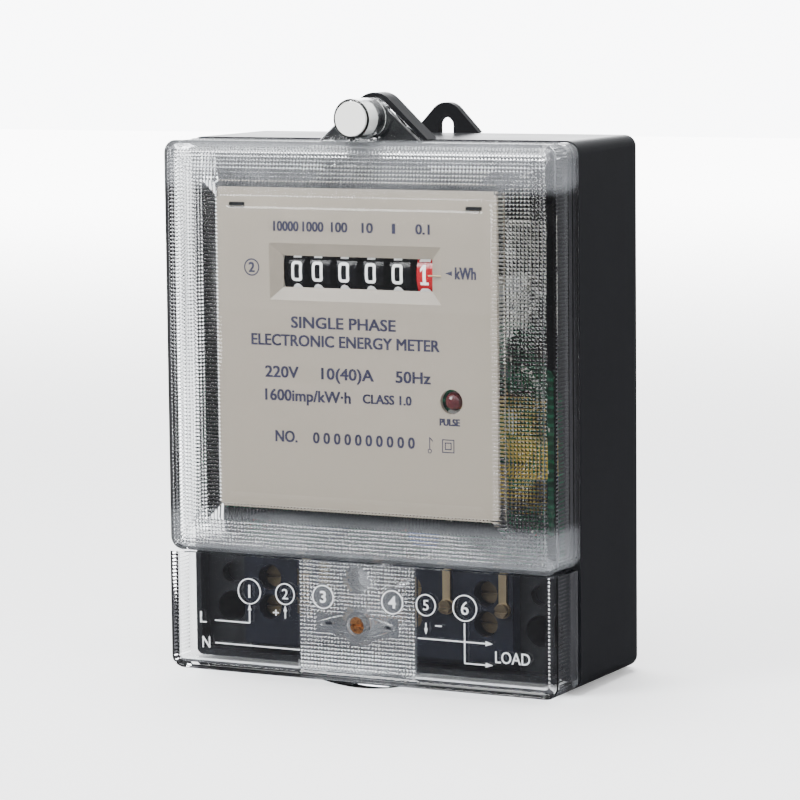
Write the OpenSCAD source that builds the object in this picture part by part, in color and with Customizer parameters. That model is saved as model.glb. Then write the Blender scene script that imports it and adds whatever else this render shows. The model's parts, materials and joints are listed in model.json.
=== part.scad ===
// Single-phase electronic energy meter with a drum register.
// +X is to the viewer's right, +Y goes from the window towards the wall, +Z is up.
// The origin is under the middle of the meter, level with its lowest point.
// Depths are counted from the frontmost plane back, heights from the bottom of the base up.

/* [Housing] */
// Width of base and covers
housing_w = 114; // [104:1:130]
// Height of the base without its lugs
housing_h = 142; // [136:1:165]
// Depth from the wall plane to the window frame
housing_d = 59.4; // [56:0.1:75]
// Depth of the covers in front of the base
cover_d = 17; // [16.6:0.1:19]
// Corner radius seen from the front
corner_r = 3.5; // [2.5:0.1:6]
// Wall of the base
base_wall = 2.6; // [2:0.1:3.2]
// How far the feet and the hook stand behind the base
foot_d = 2.8; // [2.4:0.1:5]
// Height of the foot bar
foot_h = 18; // [12:0.5:19]
// Height of the joint between the two covers
seam_h = 32; // [31:0.5:36]
// Gap between a cover and what it meets
cover_gap = 0.3; // [0.2:0.05:0.5]

/* [Front cover] */
// Wall of both clear covers
cover_wall = 1.8; // [1.4:0.1:2.2]
// How far the base stands above the cover
cover_step = 0.3; // [0.2:0.1:2]
// Width of the clear window
window_w = 79.4; // [70:0.2:84]
// Height of the clear window
window_h = 81.4; // [74:0.2:90]
// Width of the ribbed ring round the window
ring_w = 3.6; // [2.5:0.1:5]
// How far the window lies behind its frame
window_recess = 0.8; // [0.4:0.1:1.2]
// Thickness of the window
window_t = 1.4; // [1.2:0.1:2]
// How far the patterned band slopes back
band_slope = 1.2; // [0.6:0.1:3]
// Width and depth of the outer bevel
bevel = 2.2; // [1:0.1:2.8]

/* [Seal turret] */
// Outer radius of the turret tube
turret_r = 5.2; // [4.6:0.1:6]
// Wall of the turret tube
turret_wall = 0.7; // [0.5:0.1:1]
// Height of the turret axis above the cover
turret_rise = 6; // [5.8:0.1:9]
// Length of the turret tube
turret_len = 10; // [8:0.5:12]
// Thickness of the gusset plate behind the tube
gusset_t = 2.6; // [2:0.1:3.2]
// Half the width of the gusset at the cover's edge
gusset_b = 15.5; // [12:0.5:20]
// Length of the seal plug
plug_len = 7; // [5:0.5:7]

/* [Terminal cover] */
// How far the thumb lip hangs below the cover
lip_drop = 1.4; // [1:0.1:3]
// Width of the thumb lip
lip_w = 24; // [16:1:36]
// Width of the patterned panel in the middle
panel_w = 34; // [28:1:40]
// Height of the cover screw
cover_screw_h = 15.6; // [15:0.1:16.2]
// Radius of the cover screw head
cover_screw_r = 2.2; // [2:0.1:2.4]

/* [Terminals] */
// Distances of the main terminals from the middle
main_x = [10, 32];
// Distance of the auxiliary terminals from the middle
aux_x = 21; // [20.5:0.1:21.5]
// Radius of the main wire entries
main_bore_r = 3.25; // [2.5:0.05:3.4]
// Radius of the auxiliary wire entries
aux_bore_r = 1.6; // [1.2:0.05:1.8]
// Radius of the clamp screws
clamp_r = 2.45; // [2:0.05:2.6]
// Distance between the two clamp screws of a terminal
clamp_pitch = 8; // [7:0.1:9]

/* [Mounting] */
// Distance between the two lower fixing holes
fixing_pitch = 92; // [91:0.5:94]
// Height of the lower fixing holes
fixing_h = 15; // [13:0.5:15.4]
// Radius of the lower fixing holes
fixing_r = 2.25; // [2:0.05:2.5]
// Half the width of the hanging slot
hook_slot_r = 2.25; // [2:0.05:2.6]
// Travel of the hanging hook
hook_travel = 8; // [4:0.5:9]

/* [Register] */
// Number of drums
drum_count = 6; // [4:1:6]
// Radius of a drum
drum_r = 10; // [10:0.1:11]
// Width of a drum
drum_w = 5.9; // [5.6:0.1:6.1]
// Distance from drum to drum
drum_pitch = 7.8; // [7.7:0.1:8]
// Height of the drum shaft above the middle of the window
register_rise = 21.225; // [18:0.025:24]
// Radius of the drum shaft
shaft_r = 1; // [0.8:0.05:1.3]
// Running clearance on shafts
run_gap = 0.05; // [0.03:0.01:0.08]

/* [Faceplate] */
// Width of the faceplate
face_w = 82; // [78:0.5:88]
// Height of the faceplate
face_h = 85; // [80:0.5:88]
// Thickness of the faceplate
face_t = 1.4; // [1:0.1:1.8]
// Radius of the hole over the pulse light
light_hole_r = 3.2; // [2.8:0.1:3.8]

/* [Circuit board] */
// Width of the board
board_w = 94; // [90:1:98]
// Height of the board
board_h = 44; // [42:1:48]
// Thickness of the board
board_t = 1.6; // [1:0.1:2]

/* [Hidden] */
$fn = 64;
eps = 0.01;
cut = 1;

// Depths
front_d = cover_gap + cover_d + 0.1;
base_back_d = housing_d - foot_d;
inner_back_d = base_back_d - 3;
rim_d = front_d - 4;
rim_t = 1.6;
shoulder_d = 3;
pane_back_d = window_recess + window_t;
face_d = pane_back_d + 0.6;
tc_front_d = 1.4;
tc_back_d = cover_d - 1.6;
tc_edge = 2;

// Heights
cover_top_h = housing_h - cover_step;
cover_low_h = seam_h + cover_gap / 2;
tc_top_h = seam_h - cover_gap / 2;
window_drop = 0.35;
window_mid_h = (cover_low_h + cover_top_h) / 2 - window_drop;
partition_low_h = seam_h - 0.6;
partition_top_h = partition_low_h + 3.6;
turret_h = cover_top_h + turret_rise;
rim_inset = cover_wall + cover_gap;

// Terminals
block_w = 79.6;
block_front_d = rim_d;
block_back_d = front_d + 16.6;
block_low_h = rim_inset + rim_t + 0.3;
block_step_h = 6.4;
block_top_h = partition_low_h - 0.2;
barrel_w = 9;
barrel_front_d = block_back_d - 12;
barrel_low_h = 8;
barrel_top_h = 30;
bore_d = barrel_front_d + 6.7;
wire_bore_len = 20;
entry_w = main_bore_r + 1.1;
clamp_low_h = 16.5;
clamp_head_r = 2.9;
aux_w = 5;
aux_low_h = 12;
aux_top_h = 28;
aux_bore_len = 12;
aux_d = bore_d - 2.2;
aux_screw_h = 20.5;
aux_screw_r = 1;
lower_screw_h = seam_h - 4.5;
lower_boss_r = 3.6;
block_screw_h = 8.2;
extra_link_x = 37.2;

// Lower fixing columns
column_in = block_w / 2 + 0.2;
counterbore_r = 4.2;

// Hanging hook
hook_d = base_back_d + 0.2;
hook_w = 20;
hook_mid_w = 13;
hook_edge_t = 1.2;
hook_low_h = housing_h - 42;
hook_hole_h = housing_h + 1.85;
hook_bell_r = 5;
hook_bell_h = housing_h + 3.1;
hook_stop_h = housing_h - 30;
hook_stop_r = 1.7;
rail_top_h = housing_h - hook_travel - 1;
rail_low_h = rail_top_h - 22;
rail_lip_gap = 0.2;

// Register
register_h = window_mid_h + register_rise;
drum_d = face_d + 3.1 + drum_r;
rim_thick = 1.2;
web_thick = 1;
hub_r = 2.2;
drum_gap = drum_pitch - drum_w;
counter_w = (drum_count - 1) * drum_pitch + drum_w;
counter_m = 0.085 * drum_r;
counter_teeth = 20;
pinion_teeth = 8;
pinion_shaft_r = 0.75;
pinion_d = drum_d + counter_m * (counter_teeth + pinion_teeth) / 2 + 0.1;
train_m = 0.4;
train_big = 40;
train_small = 10;
train_gap = 0.06;
train_c = train_m * (train_big + train_small) / 2 + train_gap;
train_t = 1.2;
layer_1 = counter_w / 2 + 0.25;
layer_2 = layer_1 + train_t + 0.25;
end_right = layer_2 + train_t + 0.3;
end_left = -counter_w / 2 - 0.6;
end_t = 1.5;
idler_angle = 70;
idler_d = drum_d + train_c * cos(idler_angle);
idler_h = register_h - train_c * sin(idler_angle);
motor_angle = 10;
motor_d = idler_d + train_c * cos(motor_angle);
motor_h = idler_h - train_c * sin(motor_angle);
motor_r = 8;
motor_len = 8;
frame_front_d = drum_d - 7.5;
frame_back_d = pinion_d + counter_m * (pinion_teeth / 2 + 0.75) + 1.9625;
frame_low_h = motor_h - 4;
frame_top_h = register_h + drum_r + 2;
idler_axle_r = 0.8;
boss_low_h = housing_h;
ear_left = end_left - end_t - 5.5;
ear_right = end_right + end_t + 5.5;
frame_screws = [
    [ear_left, frame_low_h + 3],
    [ear_left, frame_top_h - 3],
    [ear_right, frame_top_h - 3]
];

// Faceplate
face_low_h = window_mid_h - face_h / 2 + 0.8;
face_back_d = face_d + face_t;
counter_win_w = counter_w - 1.4;
counter_win_h = 8.3;
chamfer_w = 3.3;
chamfer_d = 1.8;
light_x = 27.7;
light_h = register_h - 32.2;
clip_x = 34.5;
clip_w = 4.6;
clip_t = 1;
clip_h = face_low_h + face_h - 4.6;
post_r = 2.8;
post_x = 37;
post_low_h = face_low_h + 5;

// Circuit board
board_d = front_d + 9;
board_low_h = partition_top_h + 3 + (window_mid_h - 86.575) * 0.9;
board_top_h = board_low_h + board_h;
board_back_d = board_d + board_t;
board_hole_x = 42.5;
board_hole_h = [board_low_h + 4, board_top_h - 4];
board_screw_r = 1.15;
lead_r = 0.7;

// Routes of the leads, as [x, depth, height]: they end at depth e behind the board
e = board_back_d + 0.4;
sense_h = board_low_h + 6;
sense_routes = [
    [[-32, e + 11, 24], [-31, e + 11.6, 30], [-30, e + 11.6, 38], [-28, e + 7.6, sense_h - 1],
        [-26, e + 2.6, sense_h], [-26, e, sense_h]],
    [[-28, e + 11, 24], [-27, e + 12.6, 30], [-25, e + 12.6, 38], [-23, e + 8.6, sense_h - 1],
        [-21, e + 2.6, sense_h], [-21, e, sense_h]],
    [[12, e + 7.8, 14.6], [12.5, e + 11.6, 14.8], [14, e + 13.8, 21], [15, e + 13.6, 31],
        [15.5, e + 9.6, sense_h - 4], [15, e + 2.6, sense_h], [15, e, sense_h]]
];
motor_routes = [
    [[36.5, motor_d + 0.75, motor_h - 2.6], [38, motor_d + 4.75, motor_h - 6.6],
        [36, e + 7.6, board_low_h + 46], [32, e + 4.6, board_low_h + 41],
        [30, e + 1.6, board_low_h + 38], [30, e, board_low_h + 38]],
    [[36.5, motor_d - 3.25, motor_h - 2.6], [41, motor_d + 0.75, motor_h - 7.6],
        [40, e + 5.6, board_low_h + 44], [37, e + 4.6, board_low_h + 38],
        [34, e + 1.6, board_low_h + 34], [34, e, board_low_h + 34]]
];

function fy(d) = d - housing_d / 2;
function hz(h) = h + lip_drop;

// A flat outline in X and height, given depth from d0 to d1
module slab(d0, d1) {
    translate([0, fy(d1), lip_drop])
        rotate([90, 0, 0])
            linear_extrude(d1 - d0)
                children();
}

// A round bar along the depth
module rod(x, h, d0, d1, r) {
    translate([x, fy(d1), hz(h)])
        rotate([90, 0, 0])
            cylinder(r = r, h = d1 - d0);
}

// A cone along the depth, from radius r0 at depth d0 to r1 at d1
module cone(x, h, d0, d1, r0, r1) {
    translate([x, fy(d1), hz(h)])
        rotate([90, 0, 0])
            cylinder(r1 = r1, r2 = r0, h = d1 - d0);
}

// A round bar standing upright
module post(x, d, h0, h1, r) {
    translate([x, fy(d), hz(h0)])
        cylinder(r = r, h = h1 - h0);
}

// A round bar along X
module axle(x0, x1, d, h, r) {
    translate([x0, fy(d), hz(h)])
        rotate([0, 90, 0])
            cylinder(r = r, h = x1 - x0);
}

module block(x0, x1, d0, d1, h0, h1) {
    translate([x0, fy(d0), hz(h0)])
        cube([x1 - x0, d1 - d0, h1 - h0]);
}

// Rounded rectangle from true arcs, centred on X
module rounded(w, h0, h1, r) {
    translate([-w / 2 + r, h0])
        square([w - 2 * r, h1 - h0]);
    translate([-w / 2, h0 + r])
        square([w, h1 - h0 - 2 * r]);
    for (x = [-w / 2 + r, w / 2 - r], h = [h0 + r, h1 - r])
        translate([x, h])
            circle(r);
}

// Bell outline: a circle on a spreading foot, its sides tangent to the circle
module bell(foot, foot_h, top_h, r) {
    rise = top_h - foot_h;
    reach = sqrt(foot * foot + rise * rise);
    side = atan2(rise, -foot) - asin(r / reach);
    run = sqrt(reach * reach - r * r);
    tx = foot + run * cos(side);
    th = foot_h + run * sin(side);
    translate([0, top_h])
        circle(r);
    polygon([[-foot, foot_h], [foot, foot_h], [tx, th], [0, top_h], [-tx, th]]);
}

// Gear outline with straight-sided teeth, a tooth pointing along the 2D x axis when turn is 0
module gear_outline(m, teeth, turn = 0, thick = 0.4) {
    pitch = 360 / teeth;
    r = m * teeth / 2;
    foot = r - 1.05 * m;
    tip = r + 0.75 * m;
    half = pitch * thick / 2;
    polygon([
        for (i = [0:teeth - 1], p = [[foot, -1.5], [tip, -0.45], [tip, 0.45], [foot, 1.5]])
            let (a = turn + i * pitch + p[1] * half)
                [p[0] * cos(a), p[0] * sin(a)]
    ]);
}

// A disc or gear across X: 2D x points down, 2D y points back
module disc(x, t, d, h) {
    translate([x, fy(d), hz(h)])
        rotate([0, 90, 0])
            linear_extrude(t)
                children();
}

function mix3(a, b, t) = a * (1 - t) + b * t;
function spline(p, i, t) =
    let (n = len(p) - 1, a = p[max(i - 1, 0)], b = p[i], c = p[i + 1], e = p[min(i + 2, n)])
        0.5 * (2 * b + (c - a) * t + (2 * a - 5 * b + 4 * c - e) * t * t
            + (3 * b - a - 3 * c + e) * t * t * t);
function smooth(p, k = 3) = [
    for (i = [0:len(p) - 2], j = [0:k - 1]) spline(p, i, j / k),
    p[len(p) - 1]
];
function unit(v) = v / norm(v);
function along(p, i) = unit(p[min(i + 1, len(p) - 1)] - p[max(i - 1, 0)]);

// A round lead swept along a route of [x, depth, height] points
module lead(route, r, sides = 8) {
    p = [for (q = smooth(route)) [q[0], fy(q[1]), hz(q[2])]];
    n = len(p);
    points = [
        for (i = [0:n - 1])
            let (t = along(p, i), u = unit(cross(t, [1, 0, 0])), v = cross(t, u))
                for (s = [0:sides - 1])
                    p[i] + r * (cos(s * 360 / sides) * u + sin(s * 360 / sides) * v)
    ];
    walls = [
        for (i = [0:n - 2], s = [0:sides - 1])
            let (a = i * sides + s, b = i * sides + (s + 1) % sides)
                each [[a, a + sides, b], [b, a + sides, b + sides]]
    ];
    polyhedron(points, concat(
        walls,
        [[for (s = [0:sides - 1]) s]],
        [[for (s = [sides - 1:-1:0]) (n - 1) * sides + s]]
    ));
}

// ---- Base ----

module base_outline() {
    rounded(housing_w, 0, housing_h, corner_r);
}

module base_skin() {
    back_r = 3;
    hull() {
        slab(front_d, front_d + 1)
            base_outline();
        for (x = [-1, 1], h = [back_r, housing_h - back_r])
            translate([x * (housing_w / 2 - back_r), fy(base_back_d - back_r), hz(h)])
                sphere(r = back_r, $fn = 32);
    }
}

module upper_rim_outline(inset) {
    rounded(housing_w - 2 * inset, cover_low_h + inset, cover_top_h - inset, 1.6);
}

module lower_rim_outline(inset) {
    intersection() {
        rounded(housing_w - 2 * inset, inset, seam_h + 20, 1.6);
        translate([-housing_w / 2, 0])
            square([housing_w, tc_top_h - 0.4]);
    }
}

module rim(d0, d1) {
    slab(d0, d1)
        difference() {
            upper_rim_outline(rim_inset);
            upper_rim_outline(rim_inset + rim_t);
        }
    slab(d0, d1)
        difference() {
            lower_rim_outline(rim_inset);
            translate([0, -eps])
                square([housing_w - 2 * rim_inset - 2 * rim_t, 3 * seam_h], center = true);
        }
    slab(d0, d1)
        translate([-housing_w / 2 + rim_inset + 1.5, rim_inset])
            square([housing_w - 2 * rim_inset - 3, rim_t]);
}

module base_hollow() {
    in_w = housing_w / 2 - base_wall;
    block(-in_w, in_w, front_d + shoulder_d, inner_back_d, partition_top_h, housing_h - base_wall);
    slab(front_d - cut, front_d + shoulder_d + eps)
        upper_rim_outline(rim_inset + rim_t);
    block(-column_in, column_in, front_d - cut, inner_back_d,
        rim_inset + rim_t, partition_low_h);
}

module fixing_columns() {
    for (s = [-1, 1]) {
        x = s * fixing_pitch / 2;
        rod(x, fixing_h, front_d - cut, base_back_d - 4, counterbore_r);
        rod(x, fixing_h, base_back_d - 5, housing_d + cut, fixing_r);
        rod(x, fixing_h + clamp_pitch + 1.4, front_d - cut, front_d + 3, 2.8);
    }
}

module hook_rails() {
    out = hook_w / 2 + 0.3;
    for (s = [-1, 1])
        mirror([s < 0 ? 1 : 0, 0, 0]) {
            block(out, out + 2.2, base_back_d - 1, housing_d, rail_low_h, rail_top_h);
            block(hook_mid_w / 2 + 0.3, out + 1, hook_d + hook_edge_t + rail_lip_gap, housing_d,
                rail_low_h, rail_top_h);
        }
    rod(0, hook_stop_h, base_back_d - 1, housing_d - 0.4, hook_stop_r);
}

module base_posts() {
    for (x = [-board_hole_x, board_hole_x], h = board_hole_h)
        rod(x, h, board_back_d, inner_back_d, 2.6);
    for (x = [-post_x, post_x])
        rod(x, post_low_h, face_back_d, inner_back_d, post_r);
    for (x = [-clip_x, clip_x]) {
        rod(x, clip_h, face_back_d, inner_back_d, post_r);
        block(x - clip_w / 2 + 0.1, x + clip_w / 2 - 0.1, face_d - 0.2, face_back_d + 1,
            clip_h - clip_t / 2 + 0.1, clip_h + clip_t / 2 - 0.1);
    }
    rod(0, lower_screw_h, rim_d + 1, inner_back_d, lower_boss_r);
    rod(0, block_screw_h, block_back_d + 0.2, inner_back_d, 3.2);
    for (p = frame_screws)
        rod(p[0], p[1], frame_back_d, inner_back_d, 2.6);
}

module base_post_holes() {
    for (x = [-board_hole_x, board_hole_x], h = board_hole_h)
        rod(x, h, board_back_d - cut, board_back_d + 9, board_screw_r + run_gap);
    for (p = frame_screws)
        rod(p[0], p[1], frame_back_d - cut, frame_back_d + 8, board_screw_r + run_gap);
    rod(0, lower_screw_h, rim_d, rim_d + 12, 1.35);
    rod(0, block_screw_h, block_back_d, block_back_d + 9, 1.45);
}

module top_boss() {
    slab(rim_d + 1.3, front_d + 3)
        difference() {
            bell(gusset_b + 1, housing_h - 1, turret_h, turret_r + 1.2);
            translate([-50, 0])
                square([100, boss_low_h]);
        }
}

module base_housing() {
    color([0.05, 0.055, 0.065])
        difference() {
            union() {
                difference() {
                    base_skin();
                    base_hollow();
                }
                rim(rim_d, front_d + shoulder_d);
                block(-housing_w / 2 + corner_r, housing_w / 2 - corner_r, base_back_d - 1,
                    housing_d, 0.4, foot_h);
                hook_rails();
            }
            fixing_columns();
            for (s = [0, 1])
                mirror([s, 0, 0])
                    block(main_x[0] - entry_w, main_x[1] + entry_w, bore_d - entry_w,
                        bore_d + entry_w, -cut, rim_inset + rim_t + cut);
            for (x = [-28, 14])
                block(x - 6, x + 6, front_d + 19.6, front_d + 28, partition_low_h - cut,
                    partition_top_h + cut);
        }
}

module inner_posts() {
    color([0.05, 0.055, 0.065])
        difference() {
            base_posts();
            base_post_holes();
        }
}

module seal_boss() {
    color([0.05, 0.055, 0.065])
        difference() {
            top_boss();
            rod(0, turret_h, rim_d, front_d + 2, 1.5);
        }
}

module hanging_hook() {
    color([0.05, 0.055, 0.065])
        difference() {
            union() {
                slab(hook_d, housing_d)
                    bell(hook_w / 2 - 0.2, housing_h, hook_bell_h, hook_bell_r);
                block(-hook_mid_w / 2, hook_mid_w / 2, hook_d, housing_d, hook_low_h, housing_h + eps);
                block(-hook_w / 2, hook_w / 2, hook_d, hook_d + hook_edge_t, hook_low_h,
                    housing_h + eps);
            }
            rod(0, hook_hole_h, hook_d - cut, housing_d + cut, hook_slot_r);
            rod(0, hook_hole_h - 4, hook_d - cut, housing_d + cut, hook_slot_r);
            block(-hook_slot_r, hook_slot_r, hook_d - cut, housing_d + cut, hook_hole_h - 4,
                hook_hole_h);
            slab(hook_d - cut, housing_d + cut) {
                translate([-hook_stop_r - 0.2, hook_stop_h])
                    square([2 * hook_stop_r + 0.4, hook_travel]);
                for (h = [hook_stop_h, hook_stop_h + hook_travel])
                    translate([0, h])
                        circle(hook_stop_r + 0.2);
            }
        }
}

// ---- Terminals ----

module terminal_block() {
    color([0.06, 0.065, 0.075])
        difference() {
            union() {
                block(-block_w / 2, block_w / 2, front_d + 0.2, block_back_d, block_low_h,
                    block_top_h);
                block(-block_w / 2, block_w / 2, block_front_d, front_d + 0.3, block_step_h,
                    block_top_h);
            }
            for (x = main_x, s = [-1, 1])
                main_pocket(s * x);
            for (s = [-1, 1])
                aux_pocket(s * aux_x);
            rod(0, cover_screw_h, block_front_d - cut, front_d + 3, cover_screw_r + 0.2);
            rod(0, cover_screw_h, front_d + 2, front_d + 13, 2.85);
            rod(0, block_screw_h, block_front_d - cut, front_d + 4, 2.6);
            rod(0, block_screw_h, block_front_d, block_back_d + cut, 1.6);
            block(-4.6, 4.6, block_front_d - cut, block_back_d + cut, lower_screw_h - 4.6,
                block_top_h + cut);
            for (s = [-1, 1])
                rod(s * aux_x, aux_screw_h, block_front_d - cut, aux_d, aux_screw_r + run_gap);
            rod(extra_link_x, aux_screw_h, block_front_d - cut, block_front_d + 4,
                aux_screw_r + run_gap);
        }
}

module main_pocket(x) {
    w = barrel_w / 2 + 0.15;
    block(x - w, x + w, barrel_front_d - 0.1, block_back_d + cut, barrel_low_h - 0.1,
        barrel_top_h + 0.1);
    block(x - entry_w, x + entry_w, bore_d - entry_w, block_back_d + cut, block_low_h - cut,
        barrel_low_h + cut);
    for (i = [0, 1])
        rod(x, clamp_low_h + i * clamp_pitch, block_front_d - cut, barrel_front_d + cut,
            clamp_head_r + 0.5);
}

module aux_pocket(x) {
    w = aux_w / 2 + 0.15;
    block(x - w, x + w, aux_d - 4.1, block_back_d + cut, aux_low_h - 0.1, aux_top_h + 0.1);
    low_w = aux_bore_r + 0.8;
    block(x - low_w, x + low_w, aux_d - low_w, block_back_d + cut, block_low_h - cut,
        aux_low_h + cut);
}

module barrel(x) {
    color([0.75, 0.58, 0.28])
        difference() {
            block(x - barrel_w / 2, x + barrel_w / 2, barrel_front_d, block_back_d, barrel_low_h,
                barrel_top_h);
            post(x, bore_d, barrel_low_h - cut, barrel_low_h + wire_bore_len, main_bore_r);
            for (i = [0, 1])
                rod(x, clamp_low_h + i * clamp_pitch, barrel_front_d - cut, bore_d,
                    clamp_r + run_gap);
        }
}

module terminal_line_in() {
    barrel(-main_x[1]);
}

module terminal_line_out() {
    barrel(main_x[1]);
}

module terminal_neutral_in() {
    barrel(-main_x[0]);
}

module terminal_neutral_out() {
    barrel(main_x[0]);
}

// Slotted screw pointing back, its head's top at depth d0
module slotted_screw(x, h, d0, head_r, head_t, r, len) {
    difference() {
        union() {
            rod(x, h, d0, d0 + head_t, head_r);
            rod(x, h, d0 + head_t - eps, d0 + len, r);
        }
        block(x - head_r - cut, x + head_r + cut, d0 - cut, d0 + head_t * 0.45, h - 0.4, h + 0.4);
    }
}

module clamp_screws() {
    color([0.72, 0.62, 0.38])
        for (x = main_x, s = [-1, 1], i = [0, 1])
            slotted_screw(s * x, clamp_low_h + i * clamp_pitch, barrel_front_d - 5.4, clamp_head_r,
                2.2, clamp_r, bore_d - main_bore_r - barrel_front_d + 5);
}

module aux_terminals() {
    color([0.75, 0.58, 0.28])
        for (s = [-1, 1])
            difference() {
                block(s * aux_x - aux_w / 2, s * aux_x + aux_w / 2, aux_d - 4, aux_d + 4, aux_low_h,
                    aux_top_h);
                post(s * aux_x, aux_d, aux_low_h - cut, aux_low_h + aux_bore_len, aux_bore_r);
                rod(s * aux_x, aux_screw_h, aux_d - 5, aux_d, aux_screw_r + run_gap);
            }
}

module aux_links() {
    color([0.8, 0.68, 0.4])
        for (x = [-aux_x, aux_x, extra_link_x])
            slab(block_front_d - 0.8, block_front_d)
                difference() {
                    union() {
                        translate([x - 1.1, aux_screw_h])
                            square([2.2, block_top_h - aux_screw_h - 1]);
                        translate([x, aux_screw_h])
                            circle(2.1);
                    }
                    translate([x, aux_screw_h])
                        circle(aux_screw_r + run_gap);
                }
}

module aux_screws() {
    color([0.78, 0.66, 0.4]) {
        for (s = [-1, 1])
            slotted_screw(s * aux_x, aux_screw_h, block_front_d - 2.3, 1.8, 1.5, aux_screw_r,
                aux_d - aux_bore_r - block_front_d + 1.9);
        slotted_screw(extra_link_x, aux_screw_h, block_front_d - 2.3, 1.8, 1.5, aux_screw_r, 5.6);
    }
}

module block_screw() {
    color([0.6, 0.6, 0.62])
        slotted_screw(0, block_screw_h, front_d + 1.8, 2.4, 2.2, 1.4,
            block_back_d - front_d + 6);
}

module cover_screw_insert() {
    color([0.75, 0.58, 0.28])
        difference() {
            rod(0, cover_screw_h, front_d + 3, front_d + 12.9, 2.8);
            rod(0, cover_screw_h, front_d, front_d + 14, 1.65);
        }
}

module current_shunt() {
    color([0.6, 0.45, 0.33]) {
        x = main_x[1];
        block(-x - 3, x + 3, block_back_d + 3, block_back_d + 4.4, 17.4, 23.2);
        for (s = [-1, 1])
            block(s * x - 3, s * x + 3, block_back_d, block_back_d + 3 + eps, 17.4, 23.2);
    }
}

module neutral_link() {
    color([0.8, 0.66, 0.38])
        block(-main_x[0] - 3.5, main_x[0] + 3.5, block_back_d, block_back_d + 1.5, 12.6, 16.6);
}

// ---- Electronics ----

module circuit_board() {
    color([0.08, 0.32, 0.2])
        difference() {
            slab(board_d, board_back_d)
                rounded(board_w, board_low_h, board_top_h, 1.5);
            for (x = [-board_hole_x, board_hole_x], h = board_hole_h)
                rod(x, h, board_d - cut, board_back_d + cut, board_screw_r + 0.35);
            for (x = [-post_x, post_x])
                rod(x, post_low_h, board_d - cut, board_back_d + cut, post_r + 0.5);
        }
}

module board_screws() {
    color([0.65, 0.65, 0.67])
        for (x = [-board_hole_x, board_hole_x], h = board_hole_h)
            slotted_screw(x, h, board_d - 1.6, 2.3, 1.6, board_screw_r, 9);
}

module metering_chip() {
    x = -6;
    h = board_low_h + 18;
    color([0.03, 0.03, 0.035])
        block(x - 5.2, x + 5.2, board_d - 2.4, board_d - 0.3, h - 3.8, h + 3.8);
    color([0.7, 0.7, 0.72])
        for (i = [0:7], s = [-1, 1])
            block(x - 4.6 + i * 1.27, x - 4.2 + i * 1.27, board_d - 1.2, board_d,
                h + (s > 0 ? 3.8 : -5), h + (s > 0 ? 5 : -3.8));
}

module crystal() {
    h = board_low_h + 34;
    color([0.75, 0.75, 0.77])
        slab(board_d - 3.4, board_d)
            translate([-6, h])
                union() {
                    square([7, 4.4], center = true);
                    for (s = [-1, 1])
                        translate([s * 3.5, 0])
                            circle(2.2);
                }
}

module supply_capacitor() {
    color([0.85, 0.72, 0.16])
        block(26, 44, board_d - 14, board_d, board_low_h + 17, board_low_h + 25.5);
}

module smoothing_capacitor() {
    color([0.05, 0.06, 0.12])
        difference() {
            rod(-20, board_low_h + 12, board_d - 13, board_d, 5);
            translate([-20, fy(board_d - 2.2), hz(board_low_h + 12)])
                rotate([90, 0, 0])
                    rotate_extrude()
                        translate([5.3, 0])
                            circle(r = 0.7, $fn = 24);
        }
}

module varistor() {
    color([0.1, 0.25, 0.6])
        union() {
            axle(9, 13, board_d - 7.5, board_low_h + 10, 5.5);
            block(10.4, 11.6, board_d - 3, board_d, board_low_h + 7.4, board_low_h + 8.2);
            block(10.4, 11.6, board_d - 3, board_d, board_low_h + 11.8, board_low_h + 12.6);
        }
}

module optocoupler() {
    color([0.85, 0.85, 0.83])
        block(17, 21.6, board_d - 3.6, board_d, board_low_h + 26, board_low_h + 32.4);
}

module resistors() {
    color([0.75, 0.62, 0.42])
        for (i = [0:4]) {
            h = board_low_h + 30 + (i % 2) * 3.4;
            x = -36 + i * 4.8;
            axle(x - 1.7, x + 1.7, board_d - 1.3, h + 3, 1.1);
            block(x - 0.3, x + 0.3, board_d - 1, board_d, h + 2.6, h + 3.4);
        }
}

module pulse_light() {
    led_r = 2.5;
    color([0.75, 0.1, 0.1]) {
        rod(light_x, light_h, face_back_d + 0.8, face_back_d + 6, led_r);
        translate([light_x, fy(face_back_d + 0.8), hz(light_h)])
            sphere(r = led_r);
        rod(light_x, light_h, face_back_d + 6 - eps, face_back_d + 7, led_r + 0.4);
    }
    color([0.7, 0.7, 0.7])
        for (s = [-1, 1])
            block(light_x + s * 1.27 - 0.25, light_x + s * 1.27 + 0.25, face_back_d + 7 - eps,
                board_d, light_h - 0.25, light_h + 0.25);
}

module sense_leads() {
    color([0.75, 0.1, 0.08])
        for (route = sense_routes)
            lead(route, lead_r);
}

module motor_leads() {
    color([0.9, 0.9, 0.88])
        for (route = motor_routes)
            lead(route, lead_r * 0.8);
}

// ---- Register ----

module end_plate(x) {
    difference() {
        block(x, x + end_t, frame_front_d, frame_back_d, frame_low_h, frame_top_h);
        axle(x - cut, x + end_t + cut, drum_d, register_h, shaft_r);
        axle(x - cut, x + end_t + cut, pinion_d, register_h, pinion_shaft_r);
    }
}

module register_frame() {
    ears = ear_right + 3;
    color([0.85, 0.84, 0.8])
        difference() {
            union() {
                end_plate(end_left - end_t);
                end_plate(end_right);
                block(ear_left - 3, ears, frame_back_d - 1.6, frame_back_d, frame_low_h,
                    frame_top_h);
            }
            axle(end_right - cut, end_right + end_t + cut, idler_d, idler_h, idler_axle_r);
            axle(end_right - cut, end_right + end_t + cut, motor_d, motor_h, 1.6);
            for (p = frame_screws)
                rod(p[0], p[1], frame_back_d - 3, frame_back_d + cut, board_screw_r + 0.35);
            block(end_right + end_t, ears + cut, frame_back_d - 3, frame_back_d + cut,
                motor_h - motor_r - 0.4, motor_h + motor_r + 0.4);
        }
}

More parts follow.
